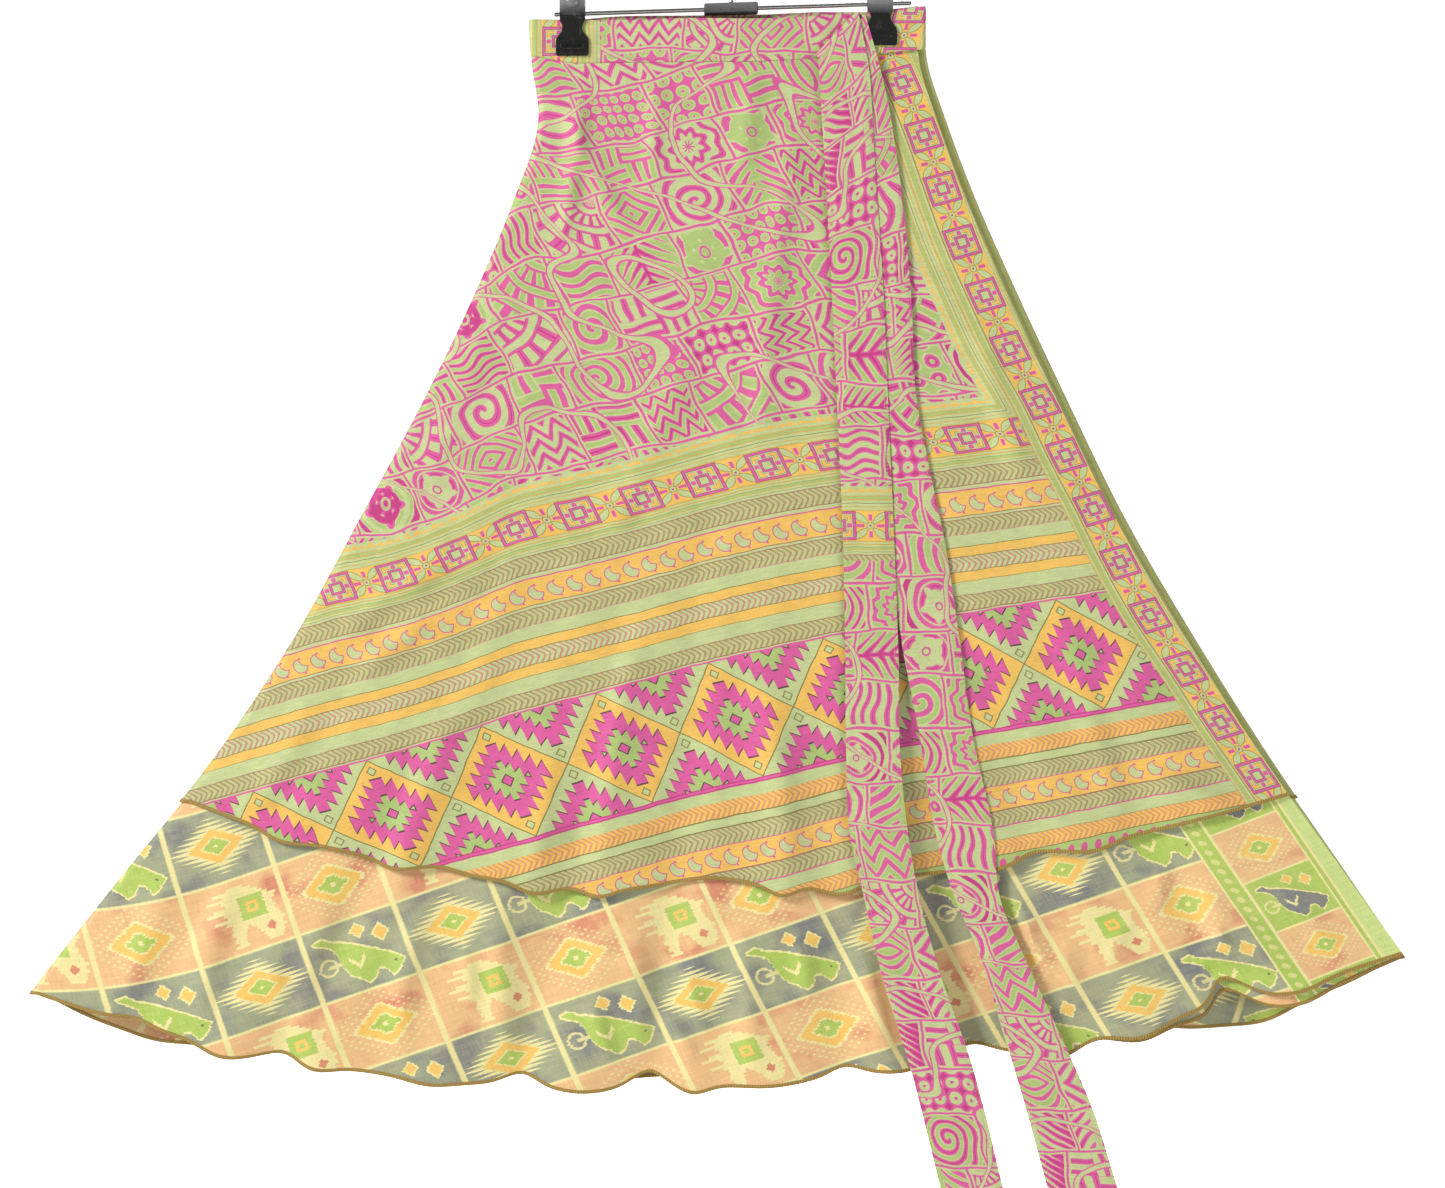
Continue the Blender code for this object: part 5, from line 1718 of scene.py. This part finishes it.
@dataclass(frozen=True)
class Skirt:
    """The six cloth panels, as thin shells on their solids, and their overlocked hems."""

    finishes: Finishes
    thickness: float = 0.5
    columns: int = 210
    rows: int = 140
    back_columns: int = 170
    back_rows: int = 110
    front_length: float = 780.0
    overlock: Overlock = Overlock()

    def hem(self, cloth: Cloth, s: Array, lower: str = "") -> Array:
        """w of a hem: its plain curve, less what the back or underlap hangs lower, plus its folds.

        Args:
            cloth: upper or under.
            s: places across.
            lower: "", "back" or "underlap".

        Returns:
            w at each s.
        """
        curve, folds = (UPPER_HEM, UPPER_FOLDS) if cloth is Cloth.UPPER else (UNDER_HEM, UNDER_FOLDS)
        if lower == "back":
            folds = BACK_FOLDS
        z = PLAN.plain_hem(curve, s) + folds.bells(s, "rise") * inside(s)
        return PLAN.reach(s, z - LOWER.at(s, lower) if lower else z)

    def down(self, rows: int, reach: Array) -> Array:
        """w of every row: even steps from the seam's gap down to the hem."""
        return between(PLAN.gap / self.front_length, reach, np.linspace(0.0, 1.0, rows)[:, None])

    def plain(
        self, cloth: Cloth, face: Face, lower: str, rows: int, s: Array, printed: Face | None = None
    ) -> Grid:
        """A stretch without creases, of the underlap or behind a side fold.

        Args:
            cloth: upper or under.
            face: where the stretch lies.
            lower: as for hem().
            rows: how many rows it has.
            s: its columns' places.
            printed: the face whose print it takes, if not its own.

        Returns:
            The stretch's middle.
        """
        w = self.down(rows, self.hem(cloth, s, lower))
        return PRINT.grid(cloth, PLAN.lay(face, s + 0 * w, w, self.rear(cloth)), printed or face)

    def rear(self, cloth: Cloth) -> Layer:
        """Where the cloth lies in the back and the underlap."""
        return PLAN.outer if cloth is Cloth.UPPER else PLAN.inner

    def side_turn(
        self, cloth: Cloth, side: Side, lower: str, front: Layer, rows: int, printed: Face = Face.FRONT
    ) -> Grid:
        """A side fold without its first and last column, from the front's layer to the rear one.

        Args:
            cloth: upper or under.
            side: the left or right fold.
            lower: "", "back" or "underlap", as for the hem.
            front: the layer in front.
            rows: how many rows.
            printed: the face that carries the print.

        Returns:
            the fold's grid.
        """
        reach = self.hem(cloth, np.array([side.place]), lower)
        w = self.down(rows, np.repeat(reach, PLAN.turn_steps - 1))
        points = PLAN.turn(side, w, PLAN.layer(front, w), PLAN.layer(self.rear(cloth), w))
        return PRINT.grid(cloth, points, printed)

    def front_panel(self, cloth: Cloth) -> Grid:
        """The front overlap: from its free edge across the front and round the left fold.

        Args:
            cloth: upper or under.

        Returns:
            the panel's grid.
        """
        upper = cloth is Cloth.UPPER
        layer = PLAN.front_upper if upper else PLAN.front_under
        share = np.linspace(1.0, 0.0, self.columns)
        w = self.down(self.rows, self.hem(cloth, share))
        s = share * between(PLAN.front_end, PLAN.front_end_hem, w)
        points = PLAN.lay(Face.FRONT, s, w, layer)
        x, z = points[..., 0], points[..., 2]
        fade = inside(s) * (1 - covered(x, z))
        rippled = ripple(x, z) * fade * ease(w / 0.08 if upper else (w - 0.7) / 0.1)
        out = ridges(x, z, UPPER_CREASES if upper else UNDER_CREASES) * fade + rippled
        if upper:
            out = out + PLAN.stand(s, w, UPPER_FOLDS.bells(s, "forward")) + self.pucker(s, w)
        points[..., 1] -= out
        turn = self.side_turn(cloth, Side.LEFT, "", layer, self.rows)
        tail = self.plain(cloth, Face.BACK, "back", self.rows, np.linspace(0.0, PLAN.left_joint, 5))
        return Grid.join([PRINT.grid(cloth, points, Face.FRONT), turn, tail])

    def pucker(self, s: Array, w: Array) -> Array:
        """Short puckers just under the waist seam: a fine sine that dies away downwards."""
        wave = 0.5 + 0.5 * np.sin(s * 190.0 + 2.0 * np.sin(s * 37.0))
        return 0.35 * wave * ease(w / 0.004) * np.exp(-w / 0.022) * inside(s)

    def underlap_panel(self, cloth: Cloth) -> Grid:
        """The underlap: from its free edge behind the overlap and round the right fold.

        Args:
            cloth: upper or under.

        Returns:
            the panel's grid.
        """
        printed = Face.BACK if cloth is Cloth.UPPER else Face.FRONT
        s = np.linspace(PLAN.underlap_start, 1.0, self.back_columns)
        return Grid.join([
            self.plain(cloth, Face.FRONT, "underlap", self.back_rows, s, printed),
            self.side_turn(cloth, Side.RIGHT, "underlap", self.rear(cloth), self.back_rows, printed),
            self.plain(cloth, Face.BACK, "back", self.back_rows, np.linspace(1.0, PLAN.right_joint, 5)),
        ])

    def back_panel(self, cloth: Cloth) -> Grid:
        """The back, between its joints with the overlap and the underlap.

        Args:
            cloth: upper or under.

        Returns:
            the panel's grid.
        """
        columns = np.linspace(PLAN.left_joint, PLAN.right_joint, self.back_columns)
        w = self.down(self.back_rows, self.hem(cloth, columns, "back"))
        s = columns + 0 * w
        for end, way in ((0, 1), (-1, -1)):
            s[:, end] = PLAN.joint(s[:, end], w[:, end], way)
        points = PLAN.lay(Face.BACK, s, w, self.rear(cloth))
        x, z = points[..., 0], points[..., 2]
        if cloth is Cloth.UPPER:
            out = (ridges(x, z, BACK_CREASES) + ripple(x, z) * ease(w / 0.08)) * inside(s)
            out = out + PLAN.stand(s, w, 0.0) + self.pucker(s, w)
        else:
            out = (ridges(-x, z, UNDER_CREASES) + ripple(x, z)) * inside(s) * ease((w - 0.84) / 0.1)
        points[..., 1] += out
        return PRINT.grid(cloth, points, Face.BACK)

    def build(self) -> None:
        """Make all six panels with their hems and log each one's size and area."""
        panels = {"front": self.front_panel, "back": self.back_panel, "underlap": self.underlap_panel}
        for cloth in Cloth:
            for part, panel in panels.items():
                node, grid = f"{cloth.value}_{part}", panel(cloth)
                piece = shell(node, grid, self.thickness, getattr(self.finishes, cloth.value))
                hem = self.overlock.sew(node, grid, self.thickness, self.finishes.overlock)
                area = grid.area()
                flat = (max(grid.width(), area / grid.length() * 1.01), grid.length())
                LOG.info("%s: %.2f by %.2f m, %.3f square metres", node, *flat, area)


@dataclass(frozen=True)
class Waistband:
    """The sewn band over the tops of the cloths: overlap, back and underlap."""

    finishes: Finishes
    underlap_lower: float = 1.0
    rows: int = 19
    columns: int = 240

    def strip(self, s: Array, offset: float, face: Face, top: str = "front_top") -> Array:
        """Middle of the band along the front or back: rows from its top edge down to the seam.

        Args:
            s: places across.
            offset: how far outside the hollow, in mm.
            face: front or back.
            top: the column that holds its top edge.

        Returns:
            the points.
        """
        share = np.linspace(0.0, 1.0, self.rows)[:, None]
        edge, seam = BAND.at(s, top), BAND.at(s, "seam")
        left, right = (
            between(BAND.at(end, top), BAND.at(end, "seam"), share) + 0 * edge
            for end in (np.zeros(1), np.ones(1))
        )
        s = s + 0 * share
        x = PLAN.across(s, left, right, 0 * s)
        return np.stack([x, PLAN.depth(face, s, 0 * s, offset), between(edge, seam, share)], -1)

    def turn(self, side: Side, front: float, back: float) -> Array:
        """Middle of the band round a side fold.

        Args:
            side: the left or right fold.
            front: offset in front, in mm.
            back: offset behind, in mm.

        Returns:
            the points.
        """
        flat = self.strip(np.full(PLAN.turn_steps - 1, side.place), front, Face.FRONT)
        w = 0 * flat[..., 0]
        bent = PLAN.turn(side, w, front + w, back + w)
        out = bent[..., 0] - PLAN.point(w + side.place, w)[0]
        return np.stack([flat[..., 0] + out, bent[..., 1], flat[..., 2]], -1)

    def lap(self, s: Array, offset: float, side: Side, joint: float) -> Array:
        """Middle of a stretch in front, of its turn round a side fold and of its end behind.

        Args:
            s: places across.
            offset: offset in front, in mm.
            side: the left or right fold.
            joint: where it ends behind.

        Returns:
            the points.
        """
        behind = np.linspace(side.place, joint, 4)
        return np.concatenate([
            self.strip(s, offset, Face.FRONT),
            self.turn(side, offset, PLAN.inner_band),
            self.strip(behind, PLAN.inner_band, Face.BACK),
        ], axis=1)

    def build(self) -> None:
        """Make the three stretches of the band and their topstitch.

        The print is patchwork, with a square by each end of the overlap and of the underlap.
        """
        front_s = np.linspace(1.0, 0.0, self.columns) * PLAN.front_end
        front = self.lap(front_s, PLAN.front_band, Side.LEFT, PLAN.left_joint)
        lap_s = np.linspace(PLAN.underlap_start, 1.0, self.columns)
        underlap = self.lap(lap_s, PLAN.inner_band, Side.RIGHT, PLAN.right_joint)
        underlap[0, :self.columns, 2] -= self.underlap_lower
        back_s = np.linspace(PLAN.left_joint, PLAN.right_joint, self.columns)
        back_s[[0, -1]] = PLAN.joint(back_s[[0, -1]], np.zeros(2), np.array([1, -1]))
        back = self.strip(back_s, PLAN.inner_band, Face.BACK, "back_top")
        wall = PLAN.band_wall * worn_edge(np.linspace(-1.0, 1.0, self.rows)[:, None], 7, 0.02)
        for part, points in (("front", front), ("back", back), ("underlap", underlap)):
            node = f"waistband_{part}"
            x, z = points[..., 0], points[..., 2]
            border = PRINT.band(x, z)
            if part == "back":
                border[..., 0] = PRINT.none
            grid = Grid(points, np.stack([x + 40.0, -540.0 - z], -1), border)
            piece = shell(node, grid, wall, self.finishes.upper)
            stitches = self.stitch(node, grid)
            high = grid.length()
            LOG.info("%s: %.2f by %.3f m", node, grid.width(), high)

    def stitch(self, node: str, grid: Grid) -> bpy.types.Object:
        """Topstitch along the band's seam, on its outer face.

        Args:
            node: the solid it lies on.
            grid: the stretch's grid.

        Returns:
            the topstitch.
        """
        row = self.rows - 3
        normal = grid.normals()[row]
        normal = normal * np.sign((normal[:, 1] * (grid.points[row][:, 1] - PLAN.back_shift)).mean())
        line = grid.points[row] + normal * PLAN.band_wall * 0.5
        return Topstitch().sew(node, [(line, normal)], self.finishes.topstitch)


@dataclass(frozen=True)
class Ties:
    """Both ties: strips that run back along the band, fold on the slant and hang down."""

    finishes: Finishes
    wall: float = 1.0
    shown: float = 0.85
    part: float = 0.6
    clear: float = 0.9
    rest: float = 11.7
    turn_x: float = 163.2
    tuck: float = 12.0
    across: int = 15
    hang_rows: int = 230
    arc_steps: int = 18
    run_steps: int = 16
    feelers: int = 9

    def cloth_depth(self, x: Array, z: Array) -> Array:
        """y of the front upper cloth's outer face at x and z, found by eight steps towards s.

        Args:
            x: places across, in mm.
            z: heights, in mm.

        Returns:
            y in mm.
        """
        s = np.full_like(x, 0.7)
        for _ in range(8):
            w = np.clip(PLAN.reach(s, z), 0.0, 1.0)
            left, right = (PLAN.point(0 * s + side.place, w)[0] for side in Side)
            s = np.clip((x - left) / (right - left), 0.0, 1.0)
        stand = PLAN.stand(s, w, UPPER_FOLDS.bells(s, "forward"))
        return PLAN.depth(Face.FRONT, s, w, PLAN.layer(PLAN.front_upper, w)) - stand - PLAN.wall / 2

    def depth(self, z: Array, extra: float) -> Array:
        """y of a tie's middle at z: in front of the clip's jaw and of the cloth's folds.

        Args:
            z: heights, in mm.
            extra: how much further in front, in mm.

        Returns:
            y at each place.
        """
        share = np.linspace(0, 1, self.feelers)[:, None, None]
        x = between(FRONT_TIE.at(z, "left"), UNDER_TIE.at(z, "right"), share)
        cloth = self.cloth_depth(x, z + 0 * x).min(axis=0) - self.clear - self.wall / 2
        return np.minimum(PLAN.back_shift - PLAN.pinched - self.rest, cloth) - extra

    def hanging(self, edges: Table, slant: Slant, extra: float) -> Array:
        """The strip from its slanted fold down: rows between the two edges' smooth curves.

        Args:
            edges: the tie's edges.
            slant: the ends of its fold.
            extra: how much further in front, in mm.

        Returns:
            the points.
        """
        share = np.linspace(0, 1, self.across)
        t = np.linspace(0, 1, self.hang_rows)[:, None]
        left_z = between(slant.low_z, edges.places[0], t)
        right_z = left_z + (slant.high_z - slant.low_z) * (1 - ease(t / 0.3))
        x = between(edges.at(left_z, "left"), edges.at(right_z, "right"), share)
        z = between(left_z, right_z, share)
        return np.stack([x, self.depth(z, extra), z], -1)

    def creases(self, z: Array, seed: float) -> Array:
        """Lengthwise creases of a pressed tie: sines across it whose phase wanders down it.

        Args:
            z: heights, in mm.
            seed: shifts the waves, so that the ties are unlike.

        Returns:
            heights in mm.
        """
        share = np.linspace(0, 1, self.across)
        first = np.sin(2 * math.pi * (1.5 * share + 0.35 * np.sin(z / 130.0 + seed)) + seed)
        second = np.sin(2 * math.pi * (0.8 * share) + z / 55.0 + seed)
        return (0.35 + 0.25 * first + 0.12 * second) * ease(np.minimum(share, 1 - share) / 0.2)

    def upright(self, x: float, y: float) -> Array:
        """One row across a tie where it runs level along the band."""
        low, high = (TIE_RUN.at(x, column) for column in ("low", "high"))
        return stacked(x, y, between(low, high, np.linspace(0, 1, self.across)))

    def strip(
        self, edges: Table, slant: Slant, start: tuple[float, float], run_y: float, extra: float
    ) -> Array:
        """A tie's whole middle: round the band's right end, back along it, over the slant, down.

        Args:
            edges: the hanging edges.
            slant: the slanted fold.
            start: x and y where it comes out.
            run_y: y of the run along the band.
            extra: how much further forward than the nearest it hangs.

        Returns:
            Points, a row for each place along the tie.
        """
        start_x, start_y = start
        radius = (start_y - run_y) / 2
        angles = np.linspace(0, math.pi, self.arc_steps + 1)
        rows = [self.upright(start_x, start_y)] + [
            self.upright(self.turn_x + radius * math.sin(angle), start_y - radius * (1 - math.cos(angle)))
            for angle in angles
        ]
        low = np.array([slant.low_x, run_y, slant.low_z])
        high = np.array([slant.high_x, run_y, slant.high_z])
        fold = between(low, high, np.linspace(0, 1, self.across)[:, None])
        first_row = rows[-1]
        left, right = (PLAN.point(np.array([side.place]), np.zeros(1))[0] for side in Side)
        for way in np.linspace(0, 1, self.run_steps + 1)[1:]:
            row = between(first_row, fold, way)
            s = (row[:, 0] - left) / (right - left)
            row[:, 1] = run_y + PLAN.pinched - PLAN.half_hollow(s, 0 * s)
            rows.append(row)
        hang = self.hanging(edges, slant, extra)
        outwards = unit(np.array([slant.low_z - slant.high_z, 0, slant.high_x - slant.low_x]))
        last, first = rows[-1], hang[0]
        middle, radius = (last + first) / 2, (last[:, 1:2] - first[:, 1:2]) / 2
        for angle in angles[1:-1]:
            row = middle + outwards * radius * math.sin(angle)
            row[:, 1:2] = middle[:, 1:2] + radius * math.cos(angle)
            rows.append(row)
        eased = ease(np.linspace(0, 12, self.hang_rows))[:, None]
        hang[..., 1] -= self.creases(hang[..., 2], 0.7 if extra else 2.4) * eased
        return np.concatenate([np.array(rows), hang])

    def grid(self, points: Array, node: str) -> tuple[Grid, tuple[int, float]]:
        """The strip with its print: patchwork, and on the front tie a pieced border section.

        Args:
            points: the strip's middle.
            node: the tie's node.

        Returns:
            The grid, and where its print jumps.
        """
        wide = np.linalg.norm(points[:, -1] - points[:, 0], axis=-1)[:, None]
        u = np.linspace(-0.5, 0.5, self.across) * wide
        middle = points.mean(axis=1)
        down = travel(middle)[:, None]
        hang_from = len(points) - self.hang_rows
        if node == "tie_front":
            drops = np.array([522.0, 552.0])
            at, seam = np.searchsorted(-middle[hang_from:, 2], drops) + hang_from
            v, jump = down - down[at] + 0 * u, (int(seam), -760.0)
        else:
            v, jump = down - 1400.0 + 0 * u, (0, 0.0)
        border = stacked(PRINT.none, v)
        band = slice(0, hang_from - self.arc_steps // 2)
        border[band] = PRINT.band(points[band, :, 0], points[band, :, 2])
        return Grid(points, stacked(u + 25.0, v), border), jump

    def build(self) -> None:
        """Make both ties and the topstitch along their edges."""
        pinched = PLAN.back_shift - PLAN.pinched
        band_end = PLAN.point(np.array([PLAN.front_end]), np.zeros(1))[0][0]
        front_run = pinched - PLAN.front_band - PLAN.band_wall / 2 - PLAN.gap - self.wall / 2
        under_run = front_run - self.wall - PLAN.gap
        front_start = (band_end + PLAN.gap, pinched - PLAN.front_band)
        under_start = (self.turn_x - self.tuck, pinched - (PLAN.inner_band + PLAN.front_band) / 2)
        for node, *course in (
            ("tie_front", FRONT_TIE, FRONT_SLANT, front_start, front_run, self.wall + self.part),
            ("tie_under", UNDER_TIE, UNDER_SLANT, under_start, under_run, 0.0),
        ):
            grid, jump = self.grid(self.strip(*course), node)
            wall = self.shown * worn_edge(np.linspace(-1, 1, self.across), 6, 0.08)
            piece = shell(node, grid, wall, self.finishes.upper, jump)
            stitches = self.stitch(node, grid)
            flat = (grid.area() / grid.length() * 1.03, grid.length())
            LOG.info("%s: %.3f by %.2f m", node, *flat)

    def stitch(self, node: str, grid: Grid) -> bpy.types.Object:
        """Topstitch beside both edges of the hanging part, on the face that shows.

        Args:
            node: the solid it lies on.
            grid: the tie's grid.

        Returns:
            the topstitch.
        """
        start = len(grid.points) - self.hang_rows + 2
        points, normal = grid.points[start:], grid.normals()[start:]
        normal = normal * -np.sign(normal[..., 1:2])
        lines = [(points[:, i] + normal[:, i] * 0.42, normal[:, i]) for i in (1, self.across - 2)]
        return Topstitch().sew(node, lines, self.finishes.topstitch)


@dataclass(frozen=True)
class Hanger:
    """The hanger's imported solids, given their finishes, and the clips' trim."""

    finishes: Finishes
    rivet: float = 5.9
    rivet_rise: float = 2.9
    slot_half: float = 9.6
    slot_high: float = 2.3
    slot_up: float = 8.2
    bead: float = 0.7
    hinge_drop: float = 24.0
    lever_half: float = 10.2
    lever_low: float = -2.0
    lever_high: float = 21.5
    lever_bulge: float = 1.1
    lever_face: float = 6.0
    ring: int = 20

    def dress(self, nodes: Mapping[str, bpy.types.Object]) -> None:
        """Put steel or plastic on each of the hanger's nodes, and a rivet in each boss's place.

        Args:
            nodes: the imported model's objects by name.
        """
        for name, obj in nodes.items():
            if not name.startswith(("hanger", "clip")):
                continue
            corners = np.array([vertex.co[:] for vertex in obj.data.vertices]) / MM
            low, high = corners.min(axis=0), corners.max(axis=0)
            if name.endswith("boss"):
                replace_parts(self.rivet_on(name, low, high), name)
                continue
            steel = name.endswith(("rod", "hook", "sleeve"))
            obj.data.materials.clear()
            obj.data.materials.append((self.finishes.steel if steel else self.finishes.plastic).material)
            if name.endswith(("front", "back")):
                self.trim(name, low, high)
            LOG.info("%s: %s", name, "steel" if steel else "plastic")

    def strip(self, name: str, x: Array, y: Array, z: Array) -> bpy.types.Object:
        """A plastic piece from its cross sections.

        Args:
            name: its name.
            x: places across, a row for each section.
            y: depths.
            z: heights.

        Returns:
            the piece.
        """
        sections = stacked(x, y, z)
        rows, ring = sections.shape[:2]
        return tube_strip(name, sections, np.arange(rows), np.arange(ring), self.finishes.plastic)

    def rivet_on(self, name: str, low: Array, high: Array) -> bpy.types.Object:
        """A domed rivet: rings whose radius and rise follow a quarter of an ellipse.

        Args:
            name: the boss it stands for.
            low: the lowest corner of the boss's box.
            high: the highest corner.

        Returns:
            the rivet.
        """
        out = 1.0 if low[1] > 0 else -1.0
        seat = (low[1] if out > 0 else high[1]) - 0.3 * out
        angle = np.linspace(0.0, 0.46 * math.pi, 9)[:, None]
        turn = np.linspace(0, 2 * math.pi, self.ring, endpoint=False)
        radius = self.rivet * np.cos(angle)
        x = (low[0] + high[0]) / 2 + radius * np.cos(turn)
        z = (low[2] + high[2]) / 2 - out * radius * np.sin(turn)
        y = seat + out * (self.lever_bulge * 0.6 + self.rivet_rise * np.sin(angle))
        return self.strip(f"{name}_rivet", x, y, z)

    def trim(self, name: str, low: Array, high: Array) -> None:
        """A raised slot frame on the jaw and a smooth pillow on the lever.

        The frame's path is a rounded box: its x and z are cosine and sine to the powers 0.33 and
        0.8. The pillow's cross section is 1 - share^4 over a flat base.

        Args:
            name: the leaf's node.
            low: the low corner of its box.
            high: the high corner of its box.
        """
        out = 1.0 if low[1] > 0 else -1.0
        face = high[1] if out > 0 else low[1]
        middle = (low[0] + high[0]) / 2
        turn = np.linspace(0, 2 * math.pi, 49)[:, None]
        round_it = np.linspace(0, 2 * math.pi, 6, endpoint=False)
        cosine, sine = np.cos(turn), np.sin(turn)
        path_x = self.slot_half * np.sign(cosine) * np.abs(cosine) ** 0.33
        path_z = self.slot_high * np.sign(sine) * np.abs(sine) ** 0.8
        swell = self.bead * np.cos(round_it)
        z = low[2] + self.slot_up + path_z + swell * sine
        y = face + out * (0.1 + self.bead * np.sin(round_it) * out)
        self.strip(f"{name}_slot", middle + path_x + swell * cosine, y, z)
        height = np.linspace(self.lever_low, self.lever_high, 17)[:, None]
        share = np.linspace(-1, 1, 11)
        ring = np.concatenate([share, share[::-1]])
        front = np.concatenate([1 - share ** 4, 0 * share - 0.4])
        end = np.sqrt(np.clip(1 - np.abs(np.linspace(-1, 1, 17)) ** 6, 0.05, 1))[:, None]
        x = middle - out * self.lever_half * ring * (0.88 + 0.12 * end)
        y = out * (self.lever_face + 0.6 * ease((height - 14.0) / 9.0) + self.lever_bulge * end * front)
        self.strip(f"{name}_lever", x, y, high[2] - self.hinge_drop + height)


@dataclass(frozen=True)
class Studio:
    """Pale floor, soft light and the camera."""

    floor_z: float = -1350.0
    floor_radius: float = 9.0
    camera_x: float = -7.3
    camera_z: float = -583.7
    distance: float = 2917.0
    lens: float = 85.0

    def build(self) -> None:
        """Make the floor, world, lights and camera."""
        self.floor()
        self.world()
        self.light("key", (-5.0, -3.4, 2.2), 1.6, 390.0)
        self.light("fill", (2.7, -2.3, -1.0), 2.0, 50.0)
        self.light("rear", (0.9, 2.7, 0.3), 1.6, 54.0)
        self.camera()
        bpy.context.scene.view_settings.view_transform = "Standard"

    def floor(self) -> None:
        """A wide round floor of pale, faintly uneven paint."""
        paint = Finish("pale_floor")
        colour = paint.mix(paint.grain(1.5), grey(0.93), grey(0.96))
        seen = paint.node("ShaderNodeLightPath").outputs["Is Camera Ray"]
        paint.finish({
            "Base Color": colour, "Roughness": 0.9, "Emission Color": paint.mix(seen, grey(0.06), colour),
            "Emission Strength": 1.0,
        })
        angle = np.linspace(0, 2 * math.pi, 96, endpoint=False)
        wide = self.floor_radius
        ring = stacked(wide * np.cos(angle), wide * np.sin(angle), self.floor_z * MM)
        mesh = bpy.data.meshes.new("studio_floor")
        mesh.from_pydata(ring.tolist(), [], [tuple(range(96))])
        mesh.materials.append(paint.material)
        add_object("studio_floor", mesh)

    def world(self) -> None:
        """Even white light from all round; the camera sees it a little brighter."""
        world = bpy.data.worlds.new("soft_white")
        bpy.context.scene.world = world
        air = Finish("", world)
        seen = air.node("ShaderNodeLightPath").outputs["Is Camera Ray"]
        strength = air.node("ShaderNodeMapRange", None, {"Value": seen, "To Min": 0.14, "To Max": 1.1})
        light = {"Color": grey(1.0), "Strength": strength.outputs["Result"]}
        background = air.node("ShaderNodeBackground", None, light)
        air.node("ShaderNodeOutputWorld", None, {0: background.outputs[0]})

    def light(self, name: str, place: tuple[float, float, float], size: float, power: float) -> None:
        """A square soft light that faces the skirt's middle.

        Args:
            name: its name.
            place: where it stands, in metres.
            size: its side in metres.
            power: its power in watts.
        """
        data = bpy.data.lights.new(name, "AREA")
        data.size = size
        data.energy = power
        obj = add_object(name, data)
        obj.location = place
        aim = Vector((0.0, 0.0, self.camera_z * MM)) - obj.location
        obj.rotation_euler = aim.to_track_quat("-Z", "Y").to_euler()

    def camera(self) -> None:
        """The photograph's view: straight on, from about three metres."""
        data = bpy.data.cameras.new("camera")
        data.lens = self.lens
        data.sensor_width = 36.0
        obj = add_object("camera", data)
        obj.location = (self.camera_x * MM, -self.distance * MM, self.camera_z * MM)
        obj.rotation_euler = (math.pi / 2, 0.0, 0.0)
        bpy.context.scene.camera = obj


def main() -> None:
    """Load the frame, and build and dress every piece."""
    logging.basicConfig(level=logging.INFO, format="%(name)s: %(message)s")
    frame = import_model()
    finishes = Finishes()
    Skirt(finishes).build()
    Waistband(finishes).build()
    Ties(finishes).build()
    Hanger(finishes).dress(frame["nodes"])
    Studio().build()


if __name__ == "__main__":
    main()
